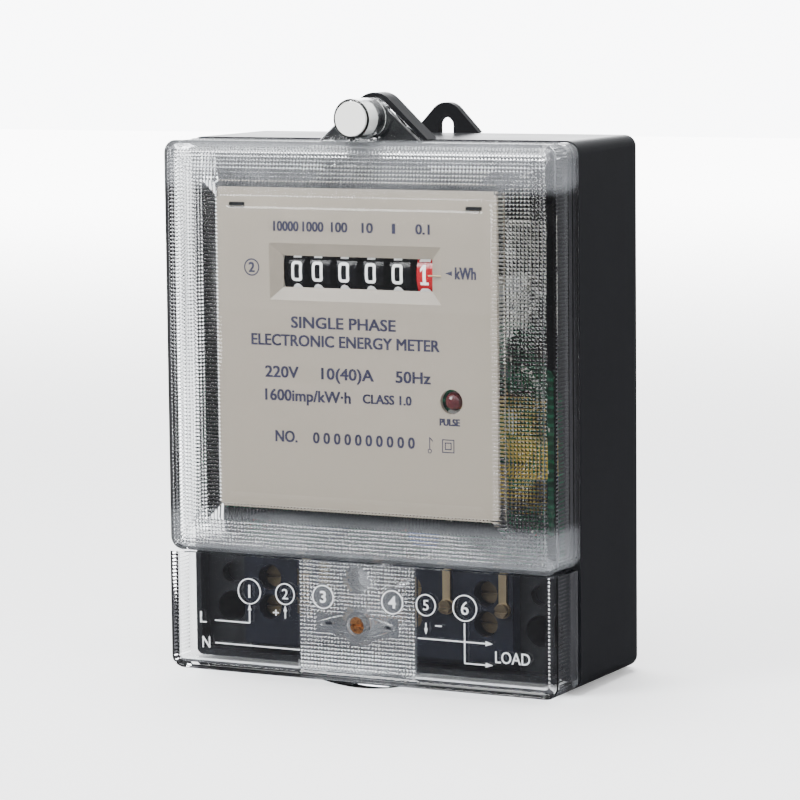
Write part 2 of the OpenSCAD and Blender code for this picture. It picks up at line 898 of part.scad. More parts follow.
module register_screws() {
    color([0.65, 0.65, 0.67])
        for (p = frame_screws)
            slotted_screw(p[0], p[1], frame_back_d - 3.2, 2.3, 1.6, board_screw_r, 9);
}

module drum_shaft() {
    color([0.7, 0.7, 0.72])
        axle(end_left - end_t, end_right + end_t, drum_d, register_h, shaft_r);
}

module pinion_shaft() {
    color([0.7, 0.7, 0.72])
        axle(end_left - end_t, end_right + end_t, pinion_d, register_h, pinion_shaft_r);
}

module idler_axle() {
    color([0.7, 0.7, 0.72])
        axle(layer_1 + 0.1, end_right + end_t, idler_d, idler_h, idler_axle_r);
}

module stepper_motor() {
    color([0.7, 0.71, 0.73])
        difference() {
            union() {
                axle(end_right + end_t, end_right + end_t + motor_len, motor_d, motor_h, motor_r);
                axle(end_right + end_t - 1, end_right + end_t + eps, motor_d, motor_h, 1.5);
            }
            axle(end_right - cut, end_right + end_t + 4, motor_d, motor_h, 0.6);
        }
}

function drum_x(i) = counter_w / 2 - drum_w / 2 - i * drum_pitch;

// Drum i counts from the right: 0 shows tenths, 5 ten thousands
module drum(i) {
    x = drum_x(i);
    low = x - drum_w / 2;
    high = x + drum_w / 2;
    difference() {
        union() {
            difference() {
                axle(low, high, drum_d, register_h, drum_r);
                axle(low - cut, high - web_thick, drum_d, register_h, drum_r - rim_thick);
            }
            axle(low, high, drum_d, register_h, hub_r);
            if (i > 0)
                disc(high - eps, drum_gap / 2 - 0.05, drum_d, register_h)
                    gear_outline(counter_m, counter_teeth, 90 + 180 / counter_teeth);
            else
                disc(layer_1, train_t, drum_d, register_h)
                    gear_outline(train_m, train_big, 90 - idler_angle);
            if (i == 0)
                axle(high - eps, layer_1 + train_t, drum_d, register_h, 4);
            if (i < drum_count - 1)
                difference() {
                    axle(low - drum_gap / 2 + 0.15, low + 1, drum_d, register_h, 7.1);
                    axle(low - drum_gap, low + 2, drum_d, register_h, 5.8);
                }
            if (i < drum_count - 1)
                for (a = [0:120:240])
                    translate([0, fy(drum_d), hz(register_h)])
                        rotate([a, 0, 0])
                            translate([low - drum_gap / 2 + 0.15, hub_r - 0.4, -0.5])
                                cube([1, 4.2, 1]);
            if (i < drum_count - 1)
                axle(low - drum_gap / 2 + 0.15, low + 1, drum_d, register_h, hub_r);
        }
        axle(low - 5, high + 5, drum_d, register_h, shaft_r + run_gap);
    }
}

module drum_tenths() {
    color([0.7, 0.06, 0.08])
        drum(0);
}

module drum_units() {
    color([0.03, 0.03, 0.035])
        drum(1);
}

module drum_tens() {
    color([0.03, 0.03, 0.035])
        drum(2);
}

module drum_hundreds() {
    color([0.03, 0.03, 0.035])
        drum(3);
}

module drum_thousands() {
    color([0.03, 0.03, 0.035])
        drum(4);
}

module drum_ten_thousands() {
    color([0.03, 0.03, 0.035])
        drum(5);
}

// The transfer pinion in the gap to the right of drum i
module pinion(i) {
    x = drum_x(i) + drum_pitch / 2;
    color([0.9, 0.89, 0.85])
        difference() {
            disc(x - drum_gap / 2 + 0.2, drum_gap - 0.4, pinion_d, register_h)
                gear_outline(counter_m, pinion_teeth, 270);
            axle(x - 3, x + 3, pinion_d, register_h, pinion_shaft_r + run_gap);
        }
}

module pinion_units() {
    pinion(1);
}

module pinion_tens() {
    pinion(2);
}

module pinion_hundreds() {
    pinion(3);
}

module pinion_thousands() {
    pinion(4);
}

module pinion_ten_thousands() {
    pinion(5);
}

module idler_gear() {
    color([0.9, 0.89, 0.85])
        difference() {
            union() {
                disc(layer_1, train_t + 0.3, idler_d, idler_h)
                    gear_outline(train_m, train_small, 270 - idler_angle + 180 / train_small);
                disc(layer_2, train_t, idler_d, idler_h)
                    gear_outline(train_m, train_big, 90 - motor_angle);
            }
            axle(layer_1 - 1, layer_2 + 3, idler_d, idler_h, idler_axle_r + run_gap);
        }
}

module motor_pinion() {
    color([0.75, 0.58, 0.28])
        union() {
            disc(layer_2, train_t, motor_d, motor_h)
                gear_outline(train_m, train_small, 270 - motor_angle + 180 / train_small);
            axle(layer_2 + train_t - eps, end_right + end_t + 3.9, motor_d, motor_h, 0.55);
        }
}

// ---- Front ----

module counter_frustum(grow, d0, d1) {
    hull() {
        slab(d0, d0 + eps)
            translate([0, register_h])
                square([counter_win_w + 2 * chamfer_w + 2 * grow,
                    counter_win_h + 2 * chamfer_w + 2 * grow], center = true);
        slab(d1 - eps, d1)
            translate([0, register_h])
                square([counter_win_w + 2 * grow, counter_win_h + 2 * grow], center = true);
    }
}

module faceplate() {
    color([0.72, 0.69, 0.62])
        difference() {
            union() {
                slab(face_d, face_back_d)
                    rounded(face_w, face_low_h, face_low_h + face_h, 1);
                counter_frustum(1, face_d + 0.2, face_d + chamfer_d + 0.2);
            }
            counter_frustum(0, face_d - eps, face_d + chamfer_d);
            slab(face_d, face_d + chamfer_d + cut)
                translate([0, register_h])
                    square([counter_win_w, counter_win_h], center = true);
            rod(light_x, light_h, face_d - cut, face_back_d + cut, light_hole_r);
            axle(0, counter_win_w / 2 + chamfer_w + 0.1, face_d + 0.2, register_h, 0.24);
            for (s = [-1, 1])
                block(s * clip_x - clip_w / 2, s * clip_x + clip_w / 2, face_d - cut,
                    face_back_d + cut, clip_h - clip_t / 2, clip_h + clip_t / 2);
        }
}

module index_pointer() {
    x = counter_win_w / 2;
    color([0.7, 0.5, 0.35])
        axle(x - 0.4, x + chamfer_w, face_d + 0.2, register_h, 0.2);
}

module cover_outline(inset) {
    rounded(housing_w - 2 * inset, cover_low_h + inset, cover_top_h - inset,
        max(corner_r - inset, 0.8));
}

module window_outline(grow, r = 2) {
    rounded(window_w + 2 * grow, window_mid_h - window_h / 2 - grow,
        window_mid_h + window_h / 2 + grow, r);
}

module cover_skin() {
    hull() {
        slab(band_slope + bevel, cover_d)
            cover_outline(0);
        slab(band_slope, band_slope + eps)
            cover_outline(bevel);
        slab(0, eps)
            window_outline(ring_w);
    }
}

module cover_hollow() {
    hull() {
        slab(pane_back_d + band_slope + bevel, cover_d + cut)
            cover_outline(cover_wall);
        slab(pane_back_d + band_slope - 0.4, pane_back_d + band_slope)
            cover_outline(bevel + 1.2);
        slab(pane_back_d, pane_back_d + eps)
            window_outline(ring_w - 0.6);
    }
}

module turret() {
    tube_front_d = tc_front_d;
    plate_d = tube_front_d + turret_len;
    difference() {
        union() {
            rod(0, turret_h, tube_front_d, plate_d + eps, turret_r);
            slab(plate_d, rim_d + 1)
                difference() {
                    bell(gusset_b, cover_top_h, turret_h, turret_r);
                    translate([-50, 0])
                        square([100, cover_top_h - 0.6]);
                }
            block(-3, 3, band_slope + bevel + 1, plate_d + 1, cover_top_h - 0.6,
                turret_h - turret_r + 0.4);
        }
        rod(0, turret_h, tube_front_d - cut, plate_d, turret_r - turret_wall);
        rod(0, turret_h, plate_d - cut, rim_d + 2, 1.8);
        block(-turret_r - cut, turret_r + cut, plate_d - 2.6, plate_d - 0.8, turret_h - 1.4,
            turret_h + 1.4);
    }
}

module lower_tongue() {
    difference() {
        union() {
            slab(rim_d - 2, rim_d + 1)
                translate([-4.2, lower_screw_h])
                    square([8.4, cover_low_h - lower_screw_h + 1]);
            rod(0, lower_screw_h, tc_front_d + 3.2, rim_d + 1, 4.2);
        }
        rod(0, lower_screw_h, tc_front_d + 2, rim_d - 2, 3.5);
        rod(0, lower_screw_h, rim_d - 4, rim_d + 3, 1.6);
    }
}

module front_cover() {
    color([0.8, 0.84, 0.88, 0.35])
        union() {
            difference() {
                cover_skin();
                cover_hollow();
                hull() {
                    slab(-cut, eps)
                        window_outline(ring_w);
                    slab(window_recess - eps, window_recess)
                        window_outline(0);
                }
            }
            turret();
            lower_tongue();
        }
}

module cover_gasket() {
    color([0.12, 0.12, 0.13])
        slab(cover_d, front_d)
            difference() {
                cover_outline(0.3);
                upper_rim_outline(rim_inset - 0.2);
            }
}

module top_cover_screw() {
    color([0.68, 0.68, 0.7])
        slotted_screw(0, turret_h, tc_front_d + turret_len - 2.2, 3.2, 2.2, 1.45,
            front_d - tc_front_d - turret_len + 2.2);
}

module lower_cover_screw() {
    color([0.68, 0.68, 0.7])
        slotted_screw(0, lower_screw_h, rim_d - 4.4, 3.1, 2.4, 1.3, 12);
}

module seal_plug() {
    color([0.95, 0.95, 0.93])
        union() {
            rod(0, turret_h, tc_front_d - 0.2, tc_front_d + plug_len - 1,
                turret_r - turret_wall - 0.1);
            rod(0, turret_h, tc_front_d + plug_len - 1 - eps, tc_front_d + plug_len,
                turret_r - turret_wall - 0.6);
        }
}

// ---- Terminal cover ----

module tc_outline(inset) {
    rounded(housing_w - 2 * inset, inset, seam_h + 20, max(corner_r - inset, 1));
}

module tc_skin() {
    intersection() {
        hull() {
            slab(tc_front_d + tc_edge, tc_back_d)
                tc_outline(0);
            slab(tc_front_d + tc_edge * 0.3, tc_back_d)
                tc_outline(tc_edge * 0.3);
            slab(tc_front_d, tc_back_d)
                tc_outline(tc_edge);
        }
        block(-housing_w, housing_w, 0, cover_d, -5, tc_top_h);
    }
}

module lip_outline() {
    r = (lip_w * lip_w / 4 + lip_drop * lip_drop) / (2 * lip_drop);
    intersection() {
        translate([0, r - lip_drop])
            circle(r, $fn = 256);
        translate([-lip_w / 2 - 1, -lip_drop - 1])
            square([lip_w + 2, lip_drop + 1.5]);
    }
}

module seal_eye() {
    slab(tc_front_d - 0.8, tc_front_d + 1) {
        translate([0, cover_screw_h])
            circle(4.4);
        polygon([
            for (s = [-1, 1], a = [-90:10:90])
                [s * (4 + 7.4 * cos(a)), cover_screw_h + 2.6 * sin(s * a) * (1 - 0.45 * cos(a))]
        ]);
    }
}

module terminal_cover() {
    tube_r = cover_screw_r + 1.4;
    color([0.8, 0.84, 0.88, 0.35])
        difference() {
            union() {
                difference() {
                    tc_skin();
                    slab(tc_front_d + cover_wall, cover_d + cut)
                        tc_outline(cover_wall);
                }
                slab(tc_front_d + 2, tc_back_d)
                    lip_outline();
                seal_eye();
                rod(0, cover_screw_h, tc_front_d, rim_d - 0.6, tube_r);
            }
            rod(0, cover_screw_h, -cut, tc_front_d + 5, cover_screw_r + 0.3);
            rod(0, cover_screw_h, 0, cover_d, 1.7);
            for (s = [-1, 1])
                slab(-cut, tc_front_d + 3)
                    translate([s * 8.6, cover_screw_h]) {
                        square([2.2, 1.3], center = true);
                        for (e = [-1.1, 1.1])
                            translate([e, 0])
                                circle(0.65);
                    }
        }
}

module terminal_cover_screw() {
    head_d = tc_front_d + 0.4;
    color([0.6, 0.35, 0.2])
        difference() {
            union() {
                rod(0, cover_screw_h, head_d, head_d + 4, cover_screw_r);
                rod(0, cover_screw_h, head_d + 4 - eps, front_d + 12, 1.5);
            }
            block(-4, 4, head_d - cut, head_d + 0.9, cover_screw_h - 0.4, cover_screw_h + 0.4);
            axle(-4, 4, head_d + 2.4, cover_screw_h, 0.6);
        }
}

base_housing();
inner_posts();
seal_boss();
hanging_hook();
terminal_block();
terminal_line_in();
terminal_line_out();
terminal_neutral_in();
terminal_neutral_out();
clamp_screws();
aux_terminals();
aux_links();
aux_screws();
block_screw();
cover_screw_insert();
current_shunt();
neutral_link();
circuit_board();
board_screws();
metering_chip();
crystal();
supply_capacitor();
smoothing_capacitor();
varistor();
optocoupler();
resistors();
pulse_light();
sense_leads();
motor_leads();
register_frame();
register_screws();
drum_shaft();
pinion_shaft();
idler_axle();
stepper_motor();
motor_pinion();
idler_gear();
drum_tenths();
drum_units();
drum_tens();
drum_hundreds();
drum_thousands();
drum_ten_thousands();
pinion_units();
pinion_tens();
pinion_hundreds();
pinion_thousands();
pinion_ten_thousands();
faceplate();
index_pointer();
front_cover();
cover_gasket();
top_cover_screw();
lower_cover_screw();
seal_plug();
terminal_cover();
terminal_cover_screw();
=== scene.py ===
# %% [markdown]
# # A single-phase energy meter with a drum register
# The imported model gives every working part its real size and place. Here those parts get
# their finishes, and the clear covers, the printing and the digits are built round them.
# Everything is in metres: +X to the right, +Y towards the wall, +Z up.

# %% Load the frame
import json
import math

import bmesh
import bpy
import numpy as np
from mathutils import Matrix, Vector


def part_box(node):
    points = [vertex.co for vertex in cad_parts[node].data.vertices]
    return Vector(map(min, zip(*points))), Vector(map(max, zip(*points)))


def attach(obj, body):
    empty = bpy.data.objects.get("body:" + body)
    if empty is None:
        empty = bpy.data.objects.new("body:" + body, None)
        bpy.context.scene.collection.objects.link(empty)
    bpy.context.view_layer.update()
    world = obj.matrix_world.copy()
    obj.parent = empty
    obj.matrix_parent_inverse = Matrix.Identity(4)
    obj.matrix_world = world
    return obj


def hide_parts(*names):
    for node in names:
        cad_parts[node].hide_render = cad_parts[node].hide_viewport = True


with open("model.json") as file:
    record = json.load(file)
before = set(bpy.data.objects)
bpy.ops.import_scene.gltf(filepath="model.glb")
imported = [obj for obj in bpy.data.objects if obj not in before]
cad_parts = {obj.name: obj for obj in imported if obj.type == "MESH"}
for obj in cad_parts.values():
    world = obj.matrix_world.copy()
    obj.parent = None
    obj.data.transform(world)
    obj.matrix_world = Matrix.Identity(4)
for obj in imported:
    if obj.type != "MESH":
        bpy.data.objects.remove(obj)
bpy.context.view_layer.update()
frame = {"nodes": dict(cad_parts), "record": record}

# %% [markdown]
# Sizes are easiest to read in millimetres, so one helper turns a place on the meter into a
# point: X from the middle, depth from the frontmost plane, height from the underside of the
# base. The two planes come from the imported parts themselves.

# %% Places on the meter
MM = 0.001
front_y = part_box("front_cover")[0].y
base_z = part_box("base_housing")[0].z


def at(x, depth, height):
    return Vector((x * MM, front_y + depth * MM, base_z + height * MM))


def box_mm(node):
    """Low and high corner of a node as (x, depth, height), in millimetres."""
    origin = Vector((0, front_y, base_z))
    return [(corner - origin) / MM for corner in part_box(node)]


cover_hi = box_mm("front_cover")[1]
plate_lo = box_mm("faceplate")[0]
print("faceplate from", tuple(round(v, 2) for v in plate_lo))

# %% [markdown]
# A node tree is easier to read as arithmetic. `Wire` wraps a socket, and its operators add
# Math nodes. `Graph` adds every other node: its settings first, then the values or links of
# its sockets. The same two classes write materials and Geometry Nodes.

# %% Node trees as Python expressions
class Wire:
    def __init__(self, graph, socket):
        self.graph, self.socket = graph, socket

    def math(self, operation, *others):
        return self.graph.node("ShaderNodeMath", {"operation": operation}, [self, *others])

    def __add__(self, other):
        return self.math("ADD", other)

    def __mul__(self, other):
        return self.math("MULTIPLY", other)

    def __sub__(self, other):
        return self.math("SUBTRACT", other)

    def __rsub__(self, other):
        return self.graph.node("ShaderNodeMath", {"operation": "SUBTRACT"}, [other, self])

    def __truediv__(self, other):
        return self.math("DIVIDE", other)

    __radd__ = __add__
    __rmul__ = __mul__


class Graph:
    def __init__(self, tree):
        self.tree = tree

    def node(self, kind, settings=None, inputs=(), out=0):
        made = self.tree.nodes.new(kind)
        for key, value in (settings or {}).items():
            if key == "stops":
                ramp = made.color_ramp
                for position, colour in value[2:]:
                    ramp.elements.new(position).color = colour
                for element, (position, colour) in zip((ramp.elements[0], ramp.elements[-1]),
                                                       (value[0], value[1])):
                    element.position, element.color = position, colour
            else:
                setattr(made, key, value)
        pairs = inputs.items() if isinstance(inputs, dict) else enumerate(inputs)
        for key, value in pairs:
            if isinstance(value, Wire):
                self.tree.links.new(value.socket, made.inputs[key])
            elif value is not None:
                made.inputs[key].default_value = value
        return Wire(self, made.outputs[out]) if made.outputs else None


def rgba(colour):
    return (*colour, 1.0)


# %% [markdown]
# ## Finishes
# Most parts are moulded plastic or plated metal. On the real thing neither is one flat
# colour: the plastic has a slightly uneven gloss and a fine eroded grain from the mould,
# and metal is drawn or brushed in one direction. One function covers both, with Object
# coordinates so that a pattern stays on its piece as the piece moves.

# %% One function for opaque finishes
finishes = {}


def mix_colour(graph, factor, first, second, blend="MIX"):
    made = graph.node("ShaderNodeMix", {"data_type": "RGBA", "blend_type": blend},
                      {0: factor, 6: first, 7: second}, out=2)
    return made


def noise(graph, place, scale, detail=3.0, roughness=0.55, stretch=None):
    if stretch:
        place = graph.node("ShaderNodeMapping", {}, {"Vector": place, "Scale": stretch})
    return graph.node("ShaderNodeTexNoise", {}, {"Vector": place, "Scale": scale,
                                                 "Detail": detail, "Roughness": roughness})


def new_material(name):
    material = bpy.data.materials.new(name)
    material.use_nodes = True
    material.node_tree.nodes.clear()
    return material, Graph(material.node_tree)


def opaque(name, colour, shade=0.85, spots=90, rough=(0.3, 0.4), rough_scale=60, grain=2600,
           grain_depth=0.00002, metallic=0.0, coat=0.0, stretch=None, pattern=None, specular=0.5):
    """pattern(graph, place, base) may return a changed colour and an extra height in metres."""
    material, graph = new_material(name)
    place = graph.node("ShaderNodeTexCoord", out="Object")
    cloud = noise(graph, place, spots, stretch=stretch)
    dark = [value * shade for value in colour]
    base = mix_colour(graph, cloud, rgba(dark), rgba(colour))
    gloss = noise(graph, place, rough_scale, detail=4.0, stretch=stretch)
    roughness = gloss * (rough[1] - rough[0]) + rough[0]
    height = noise(graph, place, grain, detail=2.0, stretch=stretch) * grain_depth
    if pattern:
        base, extra, roughness = pattern(graph, place, base, roughness)
        height = height + extra
    bump = graph.node("ShaderNodeBump", {}, {"Strength": 1.0, "Distance": 1.0, "Height": height})
    shader = graph.node("ShaderNodeBsdfPrincipled", {}, {
        "Base Color": base, "Roughness": roughness, "Metallic": metallic, "Normal": bump,
        "Coat Weight": coat, "Coat Roughness": 0.04, "Specular IOR Level": specular})
    graph.node("ShaderNodeOutputMaterial", {}, {"Surface": shader})
    finishes[name] = material
    return material


# %% [markdown]
# ### Black mouldings
# The base is satin black with a faint eroded grain. The terminal block inside is duller.

# %% Black mouldings
opaque("black_plastic", (0.007, 0.0075, 0.009), 0.75, 25, (0.26, 0.4), 35, 1800, 0.000012,
       specular=0.2)
opaque("block_plastic", (0.005, 0.006, 0.011), 0.75, 60, (0.35, 0.5), 60, 1500, 0.00002,
       specular=0.12)
opaque("black_drum", (0.002, 0.002, 0.003), 0.8, 60, (0.1, 0.16), 120, 900, 0.000004,
       specular=0.22)
opaque("red_drum", (0.36, 0.006, 0.012), 0.85, 60, (0.12, 0.18), 120, 900, 0.000004)
opaque("gasket_rubber", (0.02, 0.02, 0.022), 0.8, 200, (0.6, 0.75), 200, 1200, 0.00003)
opaque("chip_plastic", (0.02, 0.02, 0.022), 0.8, 300, (0.45, 0.6), 300, 3000, 0.00002)
print(len(finishes), "black finishes")

# %% [markdown]
# ### Metals
# Barrels are cut from brass bar, so their brushing runs upwards. Screws are turned, and
# plated parts are smoother. The screw of the terminal cover is copper coloured and has
# started to tarnish, so a ramp on a coarse noise darkens its patches.

# %% Metals
opaque("brass", (0.45, 0.36, 0.22), 0.8, 160, (0.22, 0.38), 300, 1500, 0.000015, metallic=1.0,
       stretch=(1, 1, 0.08))
opaque("screw_brass", (0.14, 0.11, 0.07), 0.7, 220, (0.35, 0.5), 300, 1800, 0.000012,
       metallic=1.0, stretch=(1, 0.1, 1))
opaque("screw_steel", (0.62, 0.62, 0.63), 0.82, 220, (0.18, 0.32), 300, 1800, 0.000012,
       metallic=1.0, stretch=(1, 0.1, 1))
opaque("steel_shaft", (0.66, 0.66, 0.68), 0.9, 200, (0.12, 0.2), 300, 1800, 0.000006,
       metallic=1.0, stretch=(0.08, 1, 1))
opaque("can_metal", (0.68, 0.68, 0.69), 0.88, 120, (0.2, 0.32), 200, 1500, 0.00001,
       metallic=1.0, stretch=(0.1, 1, 1))
opaque("copper_alloy", (0.50, 0.30, 0.18), 0.75, 120, (0.3, 0.45), 200, 1500, 0.000015,
       metallic=1.0, stretch=(0.08, 1, 1))


def tarnish(graph, place, base, roughness):
    patches = graph.node("ShaderNodeValToRGB", {"stops": [(0.42, (0, 0, 0, 1)),
                                                          (0.62, (1, 1, 1, 1))]},
                         [noise(graph, place, 900, detail=5.0)])
    worn = mix_colour(graph, patches, base, rgba((0.10, 0.035, 0.018)))
    return worn, patches * 0.00004, roughness + patches * 0.25


opaque("copper_screw", (0.62, 0.30, 0.13), 0.7, 500, (0.25, 0.4), 400, 2000, 0.00002,
       metallic=1.0, pattern=tarnish)
print(len(finishes), "finishes with metals")

# %% [markdown]
# ### Painted faceplate and light plastics
# The faceplate is matt beige paint with a barely visible orange-peel. The seal plug and the
# gears are milky plastic.

# %% Paint and light plastics
opaque("faceplate_paint", (0.245, 0.212, 0.17), 0.96, 14, (0.42, 0.5), 40, 700, 0.000012)
opaque("white_plastic", (0.80, 0.80, 0.77), 0.94, 60, (0.3, 0.42), 90, 1500, 0.00001)
opaque("frame_plastic", (0.70, 0.69, 0.64), 0.92, 60, (0.35, 0.48), 90, 1500, 0.00001)
opaque("resistor_body", (0.62, 0.48, 0.30), 0.9, 200, (0.3, 0.4), 200, 1500, 0.00001)
opaque("capacitor_film", (0.45, 0.32, 0.05), 0.85, 90, (0.3, 0.4), 90, 1500, 0.00001)
opaque("capacitor_sleeve", (0.03, 0.04, 0.10), 0.9, 90, (0.2, 0.3), 90, 900, 0.00001, coat=0.4)
opaque("varistor_coat", (0.04, 0.12, 0.42), 0.85, 90, (0.2, 0.3), 90, 500, 0.00004, coat=0.4)
opaque("red_lead", (0.55, 0.02, 0.015), 0.9, 200, (0.28, 0.38), 200, 1500, 0.00001)
opaque("white_lead", (0.78, 0.78, 0.75), 0.9, 200, (0.28, 0.38), 200, 1500, 0.00001)
opaque("light_lens", (0.07, 0.01, 0.012), 0.6, 300, (0.06, 0.1), 200, 900, 0.000004, coat=1.0)
opaque("print_ink", (0.006, 0.006, 0.035), 0.85, 300, (0.4, 0.5), 300, 3000, 0.000004)
opaque("digit_ink", (0.83, 0.83, 0.81), 0.96, 300, (0.3, 0.4), 300, 3000, 0.000004)

# %% [markdown]
# ### Circuit board
# Solder resist is green lacquer over copper. The tracks show as slightly lighter, raised
# lines, which a brick texture gives cheaply, and a few round pads come from a cell texture.

# %% Circuit board lacquer
def tracks(graph, place, base, roughness):
    turned = graph.node("ShaderNodeMapping", {}, {
        "Vector": place, "Rotation": (math.radians(90), 0, 0)})
    lines = graph.node("ShaderNodeTexBrick", {"offset": 0.37, "offset_frequency": 3}, {
        "Vector": turned, "Scale": 130.0, "Mortar Size": 0.06, "Mortar Smooth": 0.2,
        "Brick Width": 1.7, "Row Height": 0.31}, out="Fac")
    cells = graph.node("ShaderNodeTexVoronoi", {"feature": "F1"}, {
        "Vector": turned, "Scale": 260.0}, out="Distance")
    pads = cells.math("LESS_THAN", 0.16)
    tracked = mix_colour(graph, lines, base, rgba((0.014, 0.11, 0.055)))
    tinned = mix_colour(graph, pads, tracked, rgba((0.55, 0.55, 0.5)))
    return tinned, lines * 0.00003 + pads * 0.00006, roughness


opaque("circuit_board", (0.006, 0.055, 0.028), 0.85, 60, (0.22, 0.32), 90, 900, 0.00001,
       pattern=tracks)
print(len(finishes), "opaque finishes")

# %% [markdown]
# ### Clear covers
# Both covers are clear polycarbonate. Principled glass bends light through the facets as
# the real cover does. Light that only casts shadows passes straight through, by a Light
# Path node, because waiting for every caustic would leave the faceplate dark and noisy.
# A few per cent of the light is scattered in the patterned parts, for moulded texture finer
# than the facets.

# %% Clear plastic
def clear(name, tint, rough, haze_scale, through_part=1.0, frost=None):
    material, graph = new_material(name)
    place = graph.node("ShaderNodeTexCoord", out="Object")
    haze = noise(graph, place, haze_scale, detail=4.0)
    shader = graph.node("ShaderNodeBsdfPrincipled", {}, {
        "Base Color": rgba(tint), "Roughness": haze * rough, "IOR": 1.49,
        "Transmission Weight": through_part})
    if frost:
        milky = graph.node("ShaderNodeBsdfPrincipled", {}, {
            "Base Color": rgba((0.8, 0.83, 0.88)), "Roughness": haze * 0.3 + 0.2})
        shader = graph.node("ShaderNodeMixShader", {}, [frost(graph, place), shader, milky])
    through = graph.node("ShaderNodeBsdfTransparent", {}, {"Color": rgba(tint)})
    shadow = graph.node("ShaderNodeLightPath", out="Is Shadow Ray")
    both = graph.node("ShaderNodeMixShader", {}, [shadow, shader, through])
    graph.node("ShaderNodeOutputMaterial", {}, {"Surface": both})
    finishes[name] = material
    return material


WINDOW_MIDDLE_Z = 0.087975


def smooth_step(graph, value, start, end, low, high):
    return graph.node("ShaderNodeMapRange", {"interpolation_type": "SMOOTHSTEP"}, {
        "Value": value, "From Min": start, "From Max": end, "To Min": low, "To Max": high})


def milky_bands(graph, place):
    """The patterned bands above and below the window scatter some light."""
    height = graph.node("ShaderNodeSeparateXYZ", {}, [place], out="Z")
    away = (height - WINDOW_MIDDLE_Z).math("ABSOLUTE")
    level = smooth_step(graph, away, 0.0415, 0.0455, 0.0, 0.06)
    return level * noise(graph, place, 60, detail=3.0) * 1.8


def milky_panel(graph, place):
    """The patterned panel in the middle of the terminal cover scatters light too."""
    across = graph.node("ShaderNodeSeparateXYZ", {}, [place], out="X").math("ABSOLUTE")
    level = smooth_step(graph, across, 0.0165, 0.0175, 0.045, 0.0)
    return level * noise(graph, place, 60, detail=3.0) * 1.8


clear("clear_plastic", (0.97, 0.98, 0.985), 0.05, 40)
clear("banded_plastic", (0.97, 0.98, 0.985), 0.05, 40, frost=milky_bands)
clear("panel_plastic", (0.97, 0.98, 0.985), 0.05, 40, frost=milky_panel)
clear("frosted_plastic", (0.93, 0.94, 0.95), 0.8, 300, through_part=0.6)
print("clear finishes ready")

# %% [markdown]
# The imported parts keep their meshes. Each takes the finish that the record's material slot
# names.

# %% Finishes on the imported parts
for row in frame["record"]["subparts"]:
    mesh = frame["nodes"][row["node"]].data
    mesh.materials.clear()
    mesh.materials.append(finishes[row["material_slot"]])

# %% [markdown]
# ## Building pieces
# Every added piece is a mesh at the origin with its place in its vertices. The helper welds
# it, points its faces outwards, marks sharp edges by angle and rides it on its body.

# %% A helper for added pieces
def add_piece(name, mesh, finish, body="case", angle=35, weld=True, outward=True):
    made = bmesh.new()
    made.from_mesh(mesh)
    if weld:
        bmesh.ops.remove_doubles(made, verts=made.verts, dist=1e-7)
    if outward:
        bmesh.ops.recalc_face_normals(made, faces=made.faces)
    made.to_mesh(mesh)
    made.free()
    mesh.name = name
    mesh.materials.clear()
    mesh.materials.append(finishes[finish])
    mesh.polygons.foreach_set("use_smooth", [angle > 0] * len(mesh.polygons))
    if angle > 0:
        mesh.set_sharp_from_angle(angle=math.radians(angle))
    piece = bpy.data.objects.new(name, mesh)
    bpy.context.scene.collection.objects.link(piece)
    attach(piece, body)
    return piece


def mesh_of(vertices, faces):
    mesh = bpy.data.meshes.new("made")
    mesh.from_pydata([tuple(v) for v in vertices], [], [tuple(f) for f in faces])
    return mesh


def joined(meshes):
    whole = bmesh.new()
    for mesh in meshes:
        whole.from_mesh(mesh)
        bpy.data.meshes.remove(mesh)
    mesh = bpy.data.meshes.new("joined")
    whole.to_mesh(mesh)
    whole.free()
    return mesh


def evaluated(obj):
    """The object's mesh with its modifiers applied, and the object removed."""
    bpy.context.view_layer.update()
    graph = bpy.context.evaluated_depsgraph_get()
    mesh = bpy.data.meshes.new_from_object(obj.evaluated_get(graph))
    data = obj.data
    bpy.data.objects.remove(obj)
    if isinstance(data, bpy.types.Mesh) and not data.users:
        bpy.data.meshes.remove(data)
    return mesh


# %% [markdown]
# ## The facets of the clear covers
# A frame of small pyramids runs round the window and the same pattern fills the middle of
# the terminal cover; fine ribs line the window and the side walls. They could be a bump
# map, but real facets bend what is behind them, and that is the look of these covers. The
# cover is built as a fine lattice with a lattice number on every point, and Geometry Nodes
# lifts every other point of the zones that are marked.

# %% Geometry Nodes that lift facets
def group_input(tree, kind, name, default=None):
    socket = tree.interface.new_socket(name, in_out="INPUT", socket_type=kind)
    if default is not None:
        socket.default_value = default
    return socket.identifier


